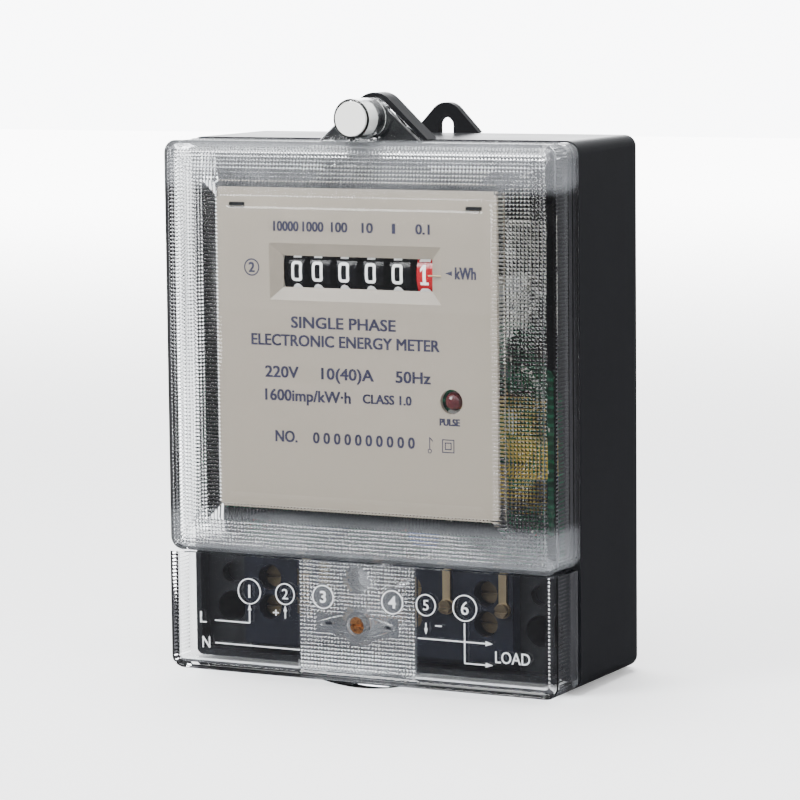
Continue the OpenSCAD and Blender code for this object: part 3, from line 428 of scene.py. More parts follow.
def facet_tree():
    tree = bpy.data.node_groups.new("lift facets", "GeometryNodeTree")
    group_input(tree, "NodeSocketGeometry", "Geometry")
    keys = {name: group_input(tree, kind, name, value) for name, kind, value in (
        ("Pyramid height", "NodeSocketFloat", 0.0004),
        ("Rib height", "NodeSocketFloat", 0.0003),
        ("Side rib depth", "NodeSocketFloat", 0.0002),
        ("Material", "NodeSocketMaterial", None))}
    tree.interface.new_socket("Geometry", in_out="OUTPUT", socket_type="NodeSocketGeometry")
    graph = Graph(tree)
    start = tree.nodes.new("NodeGroupInput")
    given = {socket.name: Wire(graph, socket) for socket in start.outputs if socket.name}

    def attribute(name):
        vector = graph.node("GeometryNodeInputNamedAttribute", {"data_type": "FLOAT_VECTOR"},
                            {"Name": name})
        split = tree.nodes.new("ShaderNodeSeparateXYZ")
        tree.links.new(vector.socket, split.inputs[0])
        return [Wire(graph, split.outputs[i]) for i in range(3)]

    across, up, around = (wire.math("MODULO", 2.0) for wire in attribute("lattice"))
    pyramid, rib_across, rib_up = attribute("zone")
    side_x, _, side_z = attribute("side")
    forward = (pyramid * across * up * given["Pyramid height"]
               + (rib_across * across + rib_up * up) * given["Rib height"])
    inward = around * given["Side rib depth"]
    offset = graph.node("ShaderNodeCombineXYZ", {}, [side_x * inward, forward * -1.0,
                                                     side_z * inward])
    moved = graph.node("GeometryNodeSetPosition", {}, {"Geometry": given["Geometry"],
                                                       "Offset": offset})
    real = graph.node("GeometryNodeRealizeInstances", {}, {"Geometry": moved})
    painted = graph.node("GeometryNodeSetMaterial", {}, {"Geometry": real,
                                                         "Material": given["Material"]})
    end = tree.nodes.new("NodeGroupOutput")
    tree.links.new(painted.socket, end.inputs[0])
    return tree, keys


facets, facet_keys = facet_tree()
print("facet inputs:", ", ".join(facet_keys))

# %% [markdown]
# The lattice itself is one closed shell: the faceted front, the side walls going back, and
# a plain inside. A square lattice has square corners, so its corners are pulled onto the
# cover's corner arc, which keeps the lattice numbers and the facets.

# %% A clear tray as one closed lattice shell
SPACING = 0.5


def round_corners(x, z, half_w, low, high, radius):
    """Pull a square lattice's corner onto an arc of that radius."""
    dx = np.abs(x) - (half_w - radius)
    middle = (low + high) / 2
    half_h = (high - low) / 2
    dz = np.abs(z - middle) - (half_h - radius)
    inside = (dx > 0) & (dz > 0)
    length = np.hypot(dx, dz)
    scale = np.where(inside, np.maximum(dx, dz) / np.where(length > 0, length, 1), 1)
    new_x = np.where(inside, np.sign(x) * (half_w - radius + dx * scale), x)
    new_z = np.where(inside, middle + np.sign(z - middle) * (half_h - radius + dz * scale), z)
    return new_x, new_z


def tray(half_w, low, high, radius, front, zones, walls, inner, end_ribs=1.0):
    """front(x, z) gives a depth, zones(x, z) the three facet weights; walls and inner are
    rows of (depth, inset, side rib) going back outside and forward again inside."""
    across = int(round(2 * half_w / SPACING / 2)) * 2
    up = int(round((high - low) / SPACING / 2)) * 2
    x, z = np.meshgrid(np.linspace(-half_w, half_w, across + 1), np.linspace(low, high, up + 1),
                       indexing="ij")
    i, j = np.meshgrid(np.arange(across + 1), np.arange(up + 1), indexing="ij")
    depth = front(x, z)
    zone = np.stack(zones(x, z), axis=-1).reshape(-1, 3)
    rx, rz = round_corners(x, z, half_w, low, high, radius)
    points = [np.stack([rx, depth, rz], axis=-1).reshape(-1, 3)]
    lattice = [np.stack([i, j, 0 * i], axis=-1).reshape(-1, 3)]
    number = np.arange(x.size).reshape(x.shape)
    faces = []
    for a in range(across):
        for b in range(up):
            p, q, r, s = number[a, b], number[a + 1, b], number[a + 1, b + 1], number[a, b + 1]
            faces += [(p, q, r), (p, r, s)] if (a + b) % 2 == 0 else [(p, q, s), (q, r, s)]
    loop = np.concatenate([number[:-1, 0], number[-1, :-1], number[:0:-1, -1], number[0, :0:-1]])
    edge_x, edge_z = x.reshape(-1)[loop], z.reshape(-1)[loop]
    middle = (low + high) / 2
    last = loop
    count = len(loop)
    sides = [np.zeros((x.size, 3))]
    for back, inset, rib in walls + inner:
        shrink_w, shrink_h = half_w - inset, (high - low) / 2 - inset
        ex = edge_x * shrink_w / half_w
        ez = middle + (edge_z - middle) * shrink_h / ((high - low) / 2)
        ex, ez = round_corners(ex, ez, shrink_w, middle - shrink_h, middle + shrink_h,
                               max(radius - inset, 0.8))
        start = sum(len(block) for block in points)
        points.append(np.stack([ex, np.full(count, back), ez], axis=-1))
        ring = np.arange(count)
        lattice.append(np.stack([0 * ring, 0 * ring, ring], axis=-1))
        flat = np.zeros((count, 3))
        on_side = np.abs(edge_x) >= half_w - 1e-6
        flat[:, 0] = np.where(on_side, -np.sign(edge_x) * rib, 0)
        flat[:, 2] = np.where(~on_side, -np.sign(edge_z - middle) * rib * end_ribs, 0)
        sides.append(flat)
        row = start + ring
        for n in range(count):
            m = (n + 1) % count
            faces.append((last[n], last[m], row[m], row[n]))
        last = row
    faces.append(tuple(last))
    points = np.concatenate(points)
    mesh = mesh_of([at(*p) for p in points], faces)
    zone = np.concatenate([zone, np.zeros((len(points) - len(zone), 3))])
    for name, values in (("lattice", np.concatenate(lattice)), ("zone", zone),
                         ("side", np.concatenate(sides))):
        layer = mesh.attributes.new(name, "FLOAT_VECTOR", "POINT")
        layer.data.foreach_set("vector", values.astype(np.float32).reshape(-1))
    return mesh


def lifted(mesh, pyramid=0.4, rib=0.36, side=0.16, finish="clear_plastic"):
    obj = bpy.data.objects.new("lattice", mesh)
    bpy.context.scene.collection.objects.link(obj)
    modifier = obj.modifiers.new("facets", "NODES")
    modifier.node_group = facets
    for name, value in (("Pyramid height", pyramid * MM), ("Rib height", rib * MM),
                        ("Side rib depth", side * MM), ("Material", finishes[finish])):
        modifier[facet_keys[name]] = value
    made = evaluated(obj)
    for name in ("lattice", "zone", "side"):
        made.attributes.remove(made.attributes[name])
    return made


# %% [markdown]
# ## The front cover
# From its edge inwards the cover has a bevel, a sloping frame of pyramids, a ring of ribs
# that dips to the window, and the flat window with one shallow step.

# %% Front cover
HALF_W = cover_hi.x
COVER_LOW, COVER_TOP = 32.15, 141.7
COVER_MID = (COVER_LOW + COVER_TOP) / 2
COVER_HALF_H = (COVER_TOP - COVER_LOW) / 2
COVER_BACK = 17.0
BEVEL, BAND_SLOPE = 2.2, 1.2
WINDOW_MID = COVER_MID - 0.35
RING_W, RECESS = 3.6, 0.8
WINDOW_HALF_W, WINDOW_HALF_H = 39.7, 40.7
RING_HALF_W, RING_HALF_H = WINDOW_HALF_W + RING_W, WINDOW_HALF_H + RING_W
FACET = 0.38


def cover_front(x, z):
    ax, az = np.abs(x), np.abs(z - WINDOW_MID)
    band_w, band_h = HALF_W - BEVEL - RING_HALF_W, COVER_HALF_H - BEVEL - RING_HALF_H
    band = np.maximum((ax - RING_HALF_W) / band_w, (az - RING_HALF_H) / band_h)
    edge = np.maximum(ax - (HALF_W - BEVEL), np.abs(z - COVER_MID) - (COVER_HALF_H - BEVEL))
    dip = np.minimum((RING_HALF_W - ax) / RING_W, (RING_HALF_H - az) / RING_W)
    step = np.minimum(37.2 - ax, 38.2 - az)
    return (FACET + BAND_SLOPE * np.clip(band, 0, 1) + (BEVEL - 0.4) * np.clip(edge / BEVEL, 0, 1)
            + (RECESS - FACET) * np.clip(dip, 0, 1) + 0.25 * np.clip(step / 0.5, 0, 1))


def cover_zones(x, z):
    ax, az = np.abs(x), np.abs(z - WINDOW_MID)
    in_ring = (ax < RING_HALF_W + 0.2) & (az < RING_HALF_H + 0.2)
    in_window = (ax < WINDOW_HALF_W + 0.2) & (az < WINDOW_HALF_H + 0.2)
    in_band = (~in_ring & (ax < HALF_W - BEVEL + 0.1)
               & (np.abs(z - COVER_MID) < COVER_HALF_H - BEVEL + 0.1))
    ring = in_ring & ~in_window
    upright = RING_HALF_W - ax < RING_HALF_H - az
    return 1.0 * in_band, 1.0 * (ring & ~upright), 1.0 * (ring & upright)


cover_walls = [(3.9, 0.1, 0), (4.3, 0.2, 1), (10.9, 0.2, 1), (11.3, 0.2, 0),
               (13.3, 0.2, 0), (13.7, 0.0, 0), (COVER_BACK, 0.0, 0)]
cover_inner = [(COVER_BACK, 1.8, 0), (5.6, 1.8, 0), (3.9, 3.4, 0), (2.3, 13.0, 0)]
shell = tray(HALF_W, COVER_LOW, COVER_TOP, 3.5, cover_front, cover_zones, cover_walls,
             cover_inner)
cover = add_piece("clear_front_cover", lifted(shell, finish="banded_plastic"), "banded_plastic",
                  angle=12)
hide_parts("front_cover")
print("front cover:", len(cover.data.polygons), "faces")

# %% [markdown]
# The seal turret stands on the cover's top edge: a tube for the plug, a bell-shaped gusset
# behind it and a short web below. The shapes are turned and cut outlines, so they are drawn
# as profiles.

# %% Turned and extruded shapes
def lathe(profile, centre_x, centre_h, turns=64):
    """profile: closed list of (radius, depth) turned about the depth axis."""
    count = len(profile)
    vertices, faces = [], []
    for turn in range(turns):
        angle = 2 * math.pi * turn / turns
        for radius, depth in profile:
            vertices.append(at(centre_x + radius * math.cos(angle), depth,
                               centre_h + radius * math.sin(angle)))
    for turn in range(turns):
        here, there = turn * count, (turn + 1) % turns * count
        for n in range(count):
            m = (n + 1) % count
            faces.append((here + n, here + m, there + m, there + n))
    return mesh_of(vertices, faces)


def extruded(outline, depth_a, depth_b, bevel=0.0):
    """A closed (x, height) outline from one depth to another, its edges bevelled."""
    work = bmesh.new()
    low = [work.verts.new(at(x, depth_a, h)) for x, h in outline]
    face = work.faces.new(low)
    moved = bmesh.ops.extrude_face_region(work, geom=[face])
    bmesh.ops.translate(work, vec=Vector((0, (depth_b - depth_a) * MM, 0)), verts=[
        v for v in moved["geom"] if isinstance(v, bmesh.types.BMVert)])
    bmesh.ops.recalc_face_normals(work, faces=work.faces)
    if bevel:
        rims = [e for e in work.edges if abs(e.verts[0].co.y - e.verts[1].co.y) < 1e-9]
        bmesh.ops.bevel(work, geom=rims, offset=bevel * MM, segments=2, affect="EDGES",
                        profile=0.5, clamp_overlap=True)
    mesh = bpy.data.meshes.new("extruded")
    work.to_mesh(mesh)
    work.free()
    return mesh


def arc(x, h, radius, start, end, steps):
    return [(x + radius * math.cos(math.radians(a)), h + radius * math.sin(math.radians(a)))
            for a in np.linspace(start, end, steps)]


def bell(foot, foot_h, top_h, radius):
    """Outline of a circle standing on a spreading foot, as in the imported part."""
    rise, reach = top_h - foot_h, math.hypot(foot, top_h - foot_h)
    side = math.degrees(math.atan2(rise, -foot) - math.asin(radius / reach))
    return ([(-foot, foot_h), (foot, foot_h)]
            + arc(0, top_h, radius, side - 90, 270 - side, 33))


TURRET_H = 147.7
turret_r, turret_wall = 5.2, 0.7
hollow_r = turret_r - turret_wall
tube = lathe([(hollow_r, 1.7), (hollow_r + 0.3, 1.4), (turret_r - 0.3, 1.4), (turret_r, 1.8),
              (turret_r, 11.4), (hollow_r, 11.4)], 0, TURRET_H)
gusset = extruded(bell(14.6, COVER_TOP + 0.05, TURRET_H, turret_r), 11.43, 14.3, 0.3)
web = extruded([(-2.6, COVER_TOP + 0.05), (2.6, COVER_TOP + 0.05), (2.6, 142.55),
                (-2.6, 142.55)], 5.0, 11.2, 0.2)
turret = add_piece("clear_seal_turret", joined([tube, gusset, web]), "clear_plastic")
print("turret:", len(turret.data.polygons), "faces")

# %% [markdown]
# Below the front cover a clear boss holds the lower cover screw, out of reach under the
# terminal cover. Its domed rim catches the light.

# %% Boss of the lower cover screw
LOWER_SCREW_H = 27.5
boss = lathe([(3.2, 5.4), (3.5, 4.7), (3.9, 4.6), (4.2, 5.1), (4.2, 14.3), (1.7, 14.3),
              (1.7, 11.4), (3.2, 11.4)], 0, LOWER_SCREW_H)
add_piece("clear_lower_boss", boss, "clear_plastic")

# %% [markdown]
# ## The terminal cover
# The terminal cover is a tray with an open top. It is built as a taller tray first, then
# cut level with the joint between the two covers. Its middle panel carries the pyramids,
# except for the two clear discs round the numbers 3 and 4.

# %% Terminal cover shell
TC_FRONT, TC_EDGE, TC_BACK, TC_TOP = 1.4, 2.0, 15.4, 31.85
SCREW_H = 15.6
PANEL_LOW, PANEL_HIGH = -16.8, 17.4


def terminal_front(x, z):
    inside = np.minimum(HALF_W - np.abs(x), z)
    bend = np.clip(1 - inside / TC_EDGE, 0, 1)
    panel = (x > PANEL_LOW - 0.3) & (x < PANEL_HIGH + 0.3) & (z > 2.4)
    return TC_FRONT + TC_EDGE * (1 - np.sqrt(1 - bend * bend * 0.98)) + 0.3 * panel


def terminal_zones(x, z):
    disc = np.minimum(np.hypot(x + 10, z - 22.5), np.hypot(x - 10.4, z - 22.5)) < 3.2
    disc |= np.hypot(x, z - 27.3) < 3.6
    eye = (np.abs(x) < 11.6) & (np.abs(z - SCREW_H) < 2.9) | (np.hypot(x, z - SCREW_H) < 4.7)
    waffle = (x > PANEL_LOW) & (x < PANEL_HIGH) & (z > 2.6) & ~disc & ~eye
    return 1.0 * waffle, np.zeros_like(x), np.zeros_like(x)


terminal_walls = [(3.6, 0.0, 0), (4.0, 0.0, 1), (11.2, 0.0, 1), (11.6, 0.0, 0), (TC_BACK, 0.0, 0)]
terminal_inner = [(TC_BACK, 1.8, 0), (4.6, 1.8, 0), (3.4, 2.6, 0), (3.2, 3.2, 0)]
shell = lifted(tray(HALF_W, 0.0, 48.0, 3.5, terminal_front, terminal_zones, terminal_walls,
                    terminal_inner, end_ribs=0.0), pyramid=0.3, side=0.11,
               finish="panel_plastic")


def cut_level(mesh, height):
    """Keep what is below a height and close the cut."""
    work = bmesh.new()
    work.from_mesh(mesh)
    cut = bmesh.ops.bisect_plane(work, geom=work.verts[:] + work.edges[:] + work.faces[:],
                                 plane_co=at(0, 0, height), plane_no=(0, 0, 1),
                                 clear_outer=True)
    rim = [e for e in cut["geom_cut"] if isinstance(e, bmesh.types.BMEdge)]
    bmesh.ops.triangle_fill(work, use_beauty=True, use_dissolve=False, edges=rim)
    bmesh.ops.recalc_face_normals(work, faces=work.faces)
    work.to_mesh(mesh)
    work.free()
    return mesh


shell = cut_level(shell, TC_TOP)
print("terminal shell:", len(shell.polygons), "faces")

# %% [markdown]
# The eye round the screw has two pointed ears with a slot each for the seal wire. It is
# joined to the shell, and the screw hole and the slots are cut through, so the light meets
# one piece of plastic.

# %% Seal eye, screw tube and thumb lip
def combined(mesh, other, operation):
    """One mesh joined to or cut by another, with an exact boolean."""
    first, second = (bpy.data.objects.new("operand", m) for m in (mesh, other))
    for obj in (first, second):
        bpy.context.scene.collection.objects.link(obj)
    modifier = first.modifiers.new("boolean", "BOOLEAN")
    modifier.operation, modifier.solver, modifier.object = operation, "EXACT", second
    made = evaluated(first)
    bpy.data.objects.remove(second)
    bpy.data.meshes.remove(other)
    return made


def rod(x, h, radius, depth_a, depth_b, turns=48):
    return lathe_closed([(radius, depth_a), (radius, depth_b)], x, h, turns)


def lathe_closed(profile, centre_x, centre_h, turns=48):
    """A solid turned from an open (radius, depth) profile, its ends closed."""
    outline = [arc(centre_x, centre_h, radius, 0, 360, turns + 1)[:-1] for radius, _ in profile]
    vertices = [at(x, depth, h) for row, (_, depth) in zip(outline, profile) for x, h in row]
    faces = [tuple(range(turns))[::-1],
             tuple(range(turns * (len(profile) - 1), turns * len(profile)))]
    for k in range(len(profile) - 1):
        for n in range(turns):
            m = (n + 1) % turns
            faces.append((k * turns + n, k * turns + m, (k + 1) * turns + m,
                          (k + 1) * turns + n))
    mesh = mesh_of(vertices, faces)
    work = bmesh.new()
    work.from_mesh(mesh)
    bmesh.ops.recalc_face_normals(work, faces=work.faces)
    work.to_mesh(mesh)
    work.free()
    return mesh


def eye_outline():
    """Round the screw, drawn out into an ear with a blunt point on each side."""
    points = []
    for sign in (1, -1):
        for t in np.linspace(-1, 1, 25):
            a = math.radians(90 * t)
            points.append((sign * (4 + 7.4 * math.cos(a)),
                           SCREW_H + sign * 2.6 * math.sin(a) * (1 - 0.45 * math.cos(a))))
    return points


ears = extruded(eye_outline(), TC_FRONT - 0.75, TC_FRONT + 0.9, 0.25)
ring = rod(0, SCREW_H, 4.4, TC_FRONT - 0.8, TC_FRONT + 1.0)
tube = rod(0, SCREW_H, 3.6, TC_FRONT + 0.8, 12.7)
slots = [extruded(arc(s * 8.6 - 1.1, SCREW_H, 0.65, 90, 270, 9)
                  + arc(s * 8.6 + 1.1, SCREW_H, 0.65, -90, 90, 9), -1, 5) for s in (1, -1)]
bores = [rod(0, SCREW_H, 2.5, -1, 6.4), rod(0, SCREW_H, 1.7, 6.0, 14)]
for part, operation in [(ears, "UNION"), (ring, "UNION"), (tube, "UNION")] + [
        (cutter, "DIFFERENCE") for cutter in slots + bores]:
    shell = combined(shell, part, operation)
    print(operation.lower(), len(shell.polygons), "faces")

lip_r = (24 * 24 / 4 + 1.4 * 1.4) / 2.8
half = math.degrees(math.asin(12 / lip_r))
lip = extruded([(-12, -0.01)] + arc(0, lip_r - 1.4, lip_r, 270 - half, 270 + half, 25)[1:-1]
               + [(12, -0.01)], 3.5, TC_BACK, 0.25)
terminal_cover = add_piece("clear_terminal_cover", shell, "panel_plastic",
                           body="terminal_cover", angle=12)
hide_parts("terminal_cover")
add_piece("clear_thumb_lip", lip, "clear_plastic", body="terminal_cover")

# %% [markdown]
# ## Lettering
# Letters are curves filled between their outlines and given a little thickness. One helper
# makes them in millimetres with the baseline at zero, another sets them on a flat face.
# Only numbers and general words are used.

# %% Letters, rings and lines
def curve_mesh(curve, thickness):
    curve.dimensions, curve.fill_mode = "2D", "BOTH"
    curve.extrude = thickness / 2
    obj = bpy.data.objects.new("curve", curve)
    bpy.context.scene.collection.objects.link(obj)
    mesh = evaluated(obj)
    bpy.data.curves.remove(curve)
    return mesh


def outline_mesh(loops, thickness):
    """Fill between closed (x, y) loops; a loop inside another is a hole."""
    curve = bpy.data.curves.new("outline", "CURVE")
    for loop in loops:
        spline = curve.splines.new("POLY")
        spline.points.add(len(loop) - 1)
        for point, (x, y) in zip(spline.points, loop):
            point.co = (x, y, 0, 1)
        spline.use_cyclic_u = True
    return curve_mesh(curve, thickness)


def text_mesh(text, thickness, weight=0.0, spacing=1.0):
    curve = bpy.data.curves.new("text", "FONT")
    curve.body, curve.size, curve.offset = text, 1.0, weight
    curve.space_character = spacing
    curve.resolution_u = 3
    return curve_mesh(curve, thickness)


def limits(mesh):
    points = np.empty(len(mesh.vertices) * 3)
    mesh.vertices.foreach_get("co", points)
    points = points.reshape(-1, 3)
    return points.min(axis=0), points.max(axis=0)


probe = text_mesh("H", 0.0)
CAP = limits(probe)[1][1]
bpy.data.meshes.remove(probe)


def letters(text, cap, width=None, weight=0.012, thickness=0.06, spacing=1.0):
    """Text cap millimetres high, squeezed to a width if one is given, centred on zero."""
    mesh = text_mesh(text, thickness * CAP / cap, weight, spacing)
    low, high = limits(mesh)
    scale = cap / CAP
    across = width / (high[0] - low[0]) if width else scale
    mesh.transform(Matrix.Diagonal((across, scale, scale, 1))
                   @ Matrix.Translation((-(low[0] + high[0]) / 2, -CAP / 2, 0)))
    return mesh


def on_face(mesh, x, height, depth):
    """Stand a flat (x, y) mesh on a face that looks forward, its middle at x and height."""
    for vertex in mesh.vertices:
        vertex.co = at(x + vertex.co.x, depth - vertex.co.z, height + vertex.co.y)
    return mesh


PASS_LIFT = 0.004


def bold(mesh, weight):
    """The same letters in five passes side by side, as a heavier pen would draw them."""
    copies = []
    shifts = [(0, 0), (1, 0.5), (-1, 0.5), (1, -0.5), (-1, -0.5)]
    for layer, (across, upright) in enumerate(shifts):
        copy = mesh.copy()
        copy.transform(Matrix.Translation((across * weight, upright * weight,
                                           layer * PASS_LIFT)))
        copies.append(copy)
    bpy.data.meshes.remove(mesh)
    return joined(copies)


def circle(x, y, radius, steps=40):
    return arc(x, y, radius, 0, 360, steps + 1)[:-1]


def ring_mesh(radius, stroke, thickness=0.06):
    return outline_mesh([circle(0, 0, radius), circle(0, 0, radius - stroke)], thickness)


def line_mesh(start, end, stroke, thickness=0.06):
    (x0, y0), (x1, y1) = start, end
    length = math.hypot(x1 - x0, y1 - y0)
    nx, ny = -(y1 - y0) / length * stroke / 2, (x1 - x0) / length * stroke / 2
    return outline_mesh([[(x0 + nx, y0 + ny), (x0 - nx, y0 - ny), (x1 - nx, y1 - ny),
                          (x1 + nx, y1 + ny)]], thickness)


def arrow_mesh(tip, size, direction, thickness=0.06):
    """A filled arrow head: its tip, its length and the angle it points to."""
    a = math.radians(direction)
    back = (tip[0] - size * math.cos(a), tip[1] - size * math.sin(a))
    side = (-math.sin(a) * size * 0.32, math.cos(a) * size * 0.32)
    return outline_mesh([[tip, (back[0] + side[0], back[1] + side[1]),
                          (back[0] - side[0], back[1] - side[1])]], thickness)


print("capital height", round(float(CAP), 3))

# %% [markdown]
# The terminal cover is moulded with the wiring diagram: the six terminal numbers in rings,
# the line and neutral paths, and the way out to the load. The letters stand a little proud
# of the clear plastic and have a frosted face.

# %% Wiring diagram on the terminal cover
FACE = TC_FRONT - 0.06
RAISED = 0.26
diagram = []
for text, x, cap, radius in (("1", -32, 3.4, 3.5), ("2", -21.2, 2.7, 2.9), ("5", 20.3, 2.7, 2.9),
                             ("6", 31.5, 3.4, 3.5)):
    diagram.append(on_face(letters(text, cap, thickness=RAISED, weight=0.0), x, 22.5, FACE))
    diagram.append(on_face(ring_mesh(radius, 0.3, RAISED), x, 22.5, FACE))
for text, x in (("3", -10), ("4", 10.4)):
    diagram.append(on_face(letters(text, 3.0, thickness=RAISED, weight=0.02), x, 22.5,
                           TC_FRONT + 0.24))
    diagram.append(on_face(ring_mesh(3.2, 0.3, RAISED), x, 22.5, TC_FRONT + 0.24))
for text, x, h, cap, width in (("L", -46.2, 14.6, 3.0, 1.9), ("N", -45.4, 7.9, 3.0, 2.3),
                               ("LOAD", 45.0, 10.4, 3.0, 9.8), ("+", -24.0, 17.3, 2.2, 1.7)):
    diagram.append(on_face(letters(text, cap, width, thickness=RAISED, weight=0.0), x, h, FACE))
paths = [((-42.6, 14.0), (-32.0, 14.0)), ((-32.0, 14.0), (-32.0, 17.2)),
         ((-42.6, 7.9), (-17.0, 7.9)), ((18.0, 13.7), (37.5, 13.7)),
         ((31.4, 18.6), (31.4, 8.1)), ((31.4, 8.1), (37.5, 8.1)),
         ((-21.2, 17.9), (-21.2, 16.0)), ((20.3, 17.9), (20.3, 16.0)),
         ((23.0, 17.3), (24.8, 17.3))]
for start, end in paths:
    diagram.append(on_face(line_mesh(start, end, 0.32, RAISED), 0, 0, FACE))
for tip, direction in (((-32.0, 18.9), 90), ((39.4, 13.7), 0), ((39.4, 8.1), 0),
                       ((-21.2, 19.4), 90), ((20.3, 14.9), 270)):
    diagram.append(on_face(arrow_mesh(tip, 2.0 if direction == 0 else 1.5, direction, RAISED),
                           0, 0, FACE))
add_piece("wiring_diagram", joined(diagram), "frosted_plastic", body="terminal_cover")
print("wiring diagram:", len(diagram), "marks")

# %% [markdown]
# ### Print on the faceplate
# The ratings are general ones for this class of meter. Dark blue ink, a few hundredths of
# a millimetre thick.

# %% Faceplate print
PLATE = plate_lo.y - 0.015
INK = 0.03
ink = []
for text, x, width in (("10000", -19.9, 7.3), ("1000", -11.9, 6.0), ("100", -4.2, 4.6),
                       ("10", 4.0, 3.1), ("1", 11.6, 0.75), ("0.1", 19.9, 3.9)):
    ink.append(on_face(bold(letters(text, 2.5, width, 0.0, INK), 0.13), x, 119.7, PLATE))
for text, x, h, cap, width in (
        ("2", -30.3, 108.7, 2.5, None), ("kWh", 32.0, 108.7, 3.0, 5.8),
        ("SINGLE PHASE", -3.4, 94.6, 2.9, 30.5),
        ("ELECTRONIC ENERGY METER", -3.1, 89.8, 2.9, 55.0),
        ("220V", -21.7, 81.4, 2.9, 9.8), ("10(40)A", -2.3, 81.4, 2.9, 15.2),
        ("50Hz", 16.8, 81.4, 2.9, 9.9), ("1600imp/kW·h", -14.1, 75.3, 2.9, 25.2),
        ("CLASS 1.0", 9.2, 75.3, 2.3, 14.0), ("PULSE", 27.2, 70.3, 1.7, 5.6),
        ("NO.", -20.6, 64.4, 2.9, 6.4), ("0 0 0 0 0 0 0 0 0 0", 2.2, 64.4, 2.8, 29.6)):
    ink.append(on_face(bold(letters(text, cap, width, 0.0, INK), 0.13), x, h, PLATE))
ink.append(on_face(ring_mesh(2.3, 0.36, INK), -30.3, 108.7, PLATE))
ink.append(on_face(arrow_mesh((26.2, 108.6), 2.0, 180, INK), 0, 0, PLATE))
for size in (3.5, 1.9):
    squares = [[(-half, -half), (half, -half), (half, half), (-half, half)]
               for half in (size / 2, size / 2 - 0.25)]
    ink.append(on_face(outline_mesh(squares, INK), 26.7, 64.1, PLATE))
ink.append(on_face(ring_mesh(0.6, 0.22, INK), 21.4, 62.6, PLATE))
ink.append(on_face(line_mesh((21.4, 63.2), (21.4, 66.2), 0.25, INK), 0, 0, PLATE))
ink.append(on_face(line_mesh((21.4, 66.1), (22.3, 65.2), 0.25, INK), 0, 0, PLATE))
add_piece("faceplate_print", joined(ink), "print_ink")
print("faceplate print:", len(ink), "marks")

# %% [markdown]
# ### Digits on the drums
# Each drum carries its ten digits. The drum turns its front downwards as it counts up, so
# the next digit comes from above. A digit is drawn flat, cut into narrow strips and bent
# onto the drum.

# %% Digits bent onto the drums
DIGIT_H, DIGIT_W, DIGIT_STROKE = 5.3, 3.1, 0.78
axis = (box_mm("drum_tenths")[0] + box_mm("drum_tenths")[1]) / 2
DRUM_R = (box_mm("drum_tenths")[1].y - box_mm("drum_tenths")[0].y) / 2


def rounded_box(half_x, half_y, radius):
    corners = ((1, 1, 0), (-1, 1, 90), (-1, -1, 180), (1, -1, 270))
    return [point for sx, sy, start in corners
            for point in arc(sx * (half_x - radius), sy * (half_y - radius), radius, start,
                             start + 90, 7)]


def digit_mesh(digit):
    if digit == 0:
        return outline_mesh([rounded_box(DIGIT_W / 2, DIGIT_H / 2, 1.0),
                             rounded_box(DIGIT_W / 2 - DIGIT_STROKE, DIGIT_H / 2 - DIGIT_STROKE,
                                         0.4)], 0.04)
    if digit == 1:
        edge, top, foot = DIGIT_STROKE / 2 + 0.04, DIGIT_H / 2, DIGIT_H / 2 - 0.7
        return outline_mesh([[(-1.15, -top), (1.15, -top), (1.15, -foot), (edge, -foot),
                              (edge, top), (-edge, top), (-1.15, top - 1.1),
                              (-1.15, top - 1.95), (-edge, top - 1.2), (-edge, -foot),
                              (-1.15, -foot)]], 0.04)
    return letters(str(digit), DIGIT_H, DIGIT_W, 0.03, 0.04)


def bent(mesh, centre_x, angle):
    """Wrap a flat mesh onto a drum with its middle at an angle above the front."""
    work = bmesh.new()
    work.from_mesh(mesh)
    for level in np.arange(-2.8, 2.9, 0.4):
        bmesh.ops.bisect_plane(work, geom=work.verts[:] + work.edges[:] + work.faces[:],
                               plane_co=(0, level, 0), plane_no=(0, 1, 0))
    for vertex in work.verts:
        turned = angle + vertex.co.y / DRUM_R
        radius = DRUM_R + 0.012 + vertex.co.z
        vertex.co = at(centre_x + vertex.co.x, axis.y - radius * math.cos(turned),
                       axis.z + radius * math.sin(turned))
    work.to_mesh(mesh)
    work.free()
    return mesh


for name, shown in (("tenths", 1), ("units", 0), ("tens", 0), ("hundreds", 0),
                    ("thousands", 0), ("ten_thousands", 0)):
    low, high = box_mm("drum_" + name)
    left = high.x - 5.9 if name == "ten_thousands" else low.x
    digits = [bent(digit_mesh((shown + k) % 10), left + 2.95, math.radians(36 * k))
              for k in range(10)]
    add_piece("digits_" + name, joined(digits), "digit_ink", body="drum_" + name)
print("drum axis at depth", round(axis.y, 2), "height", round(axis.z, 2))
for name in ("tenths", "units", "ten_thousands"):
    print(name, [round(v.x, 2) for v in box_mm("drum_" + name)])
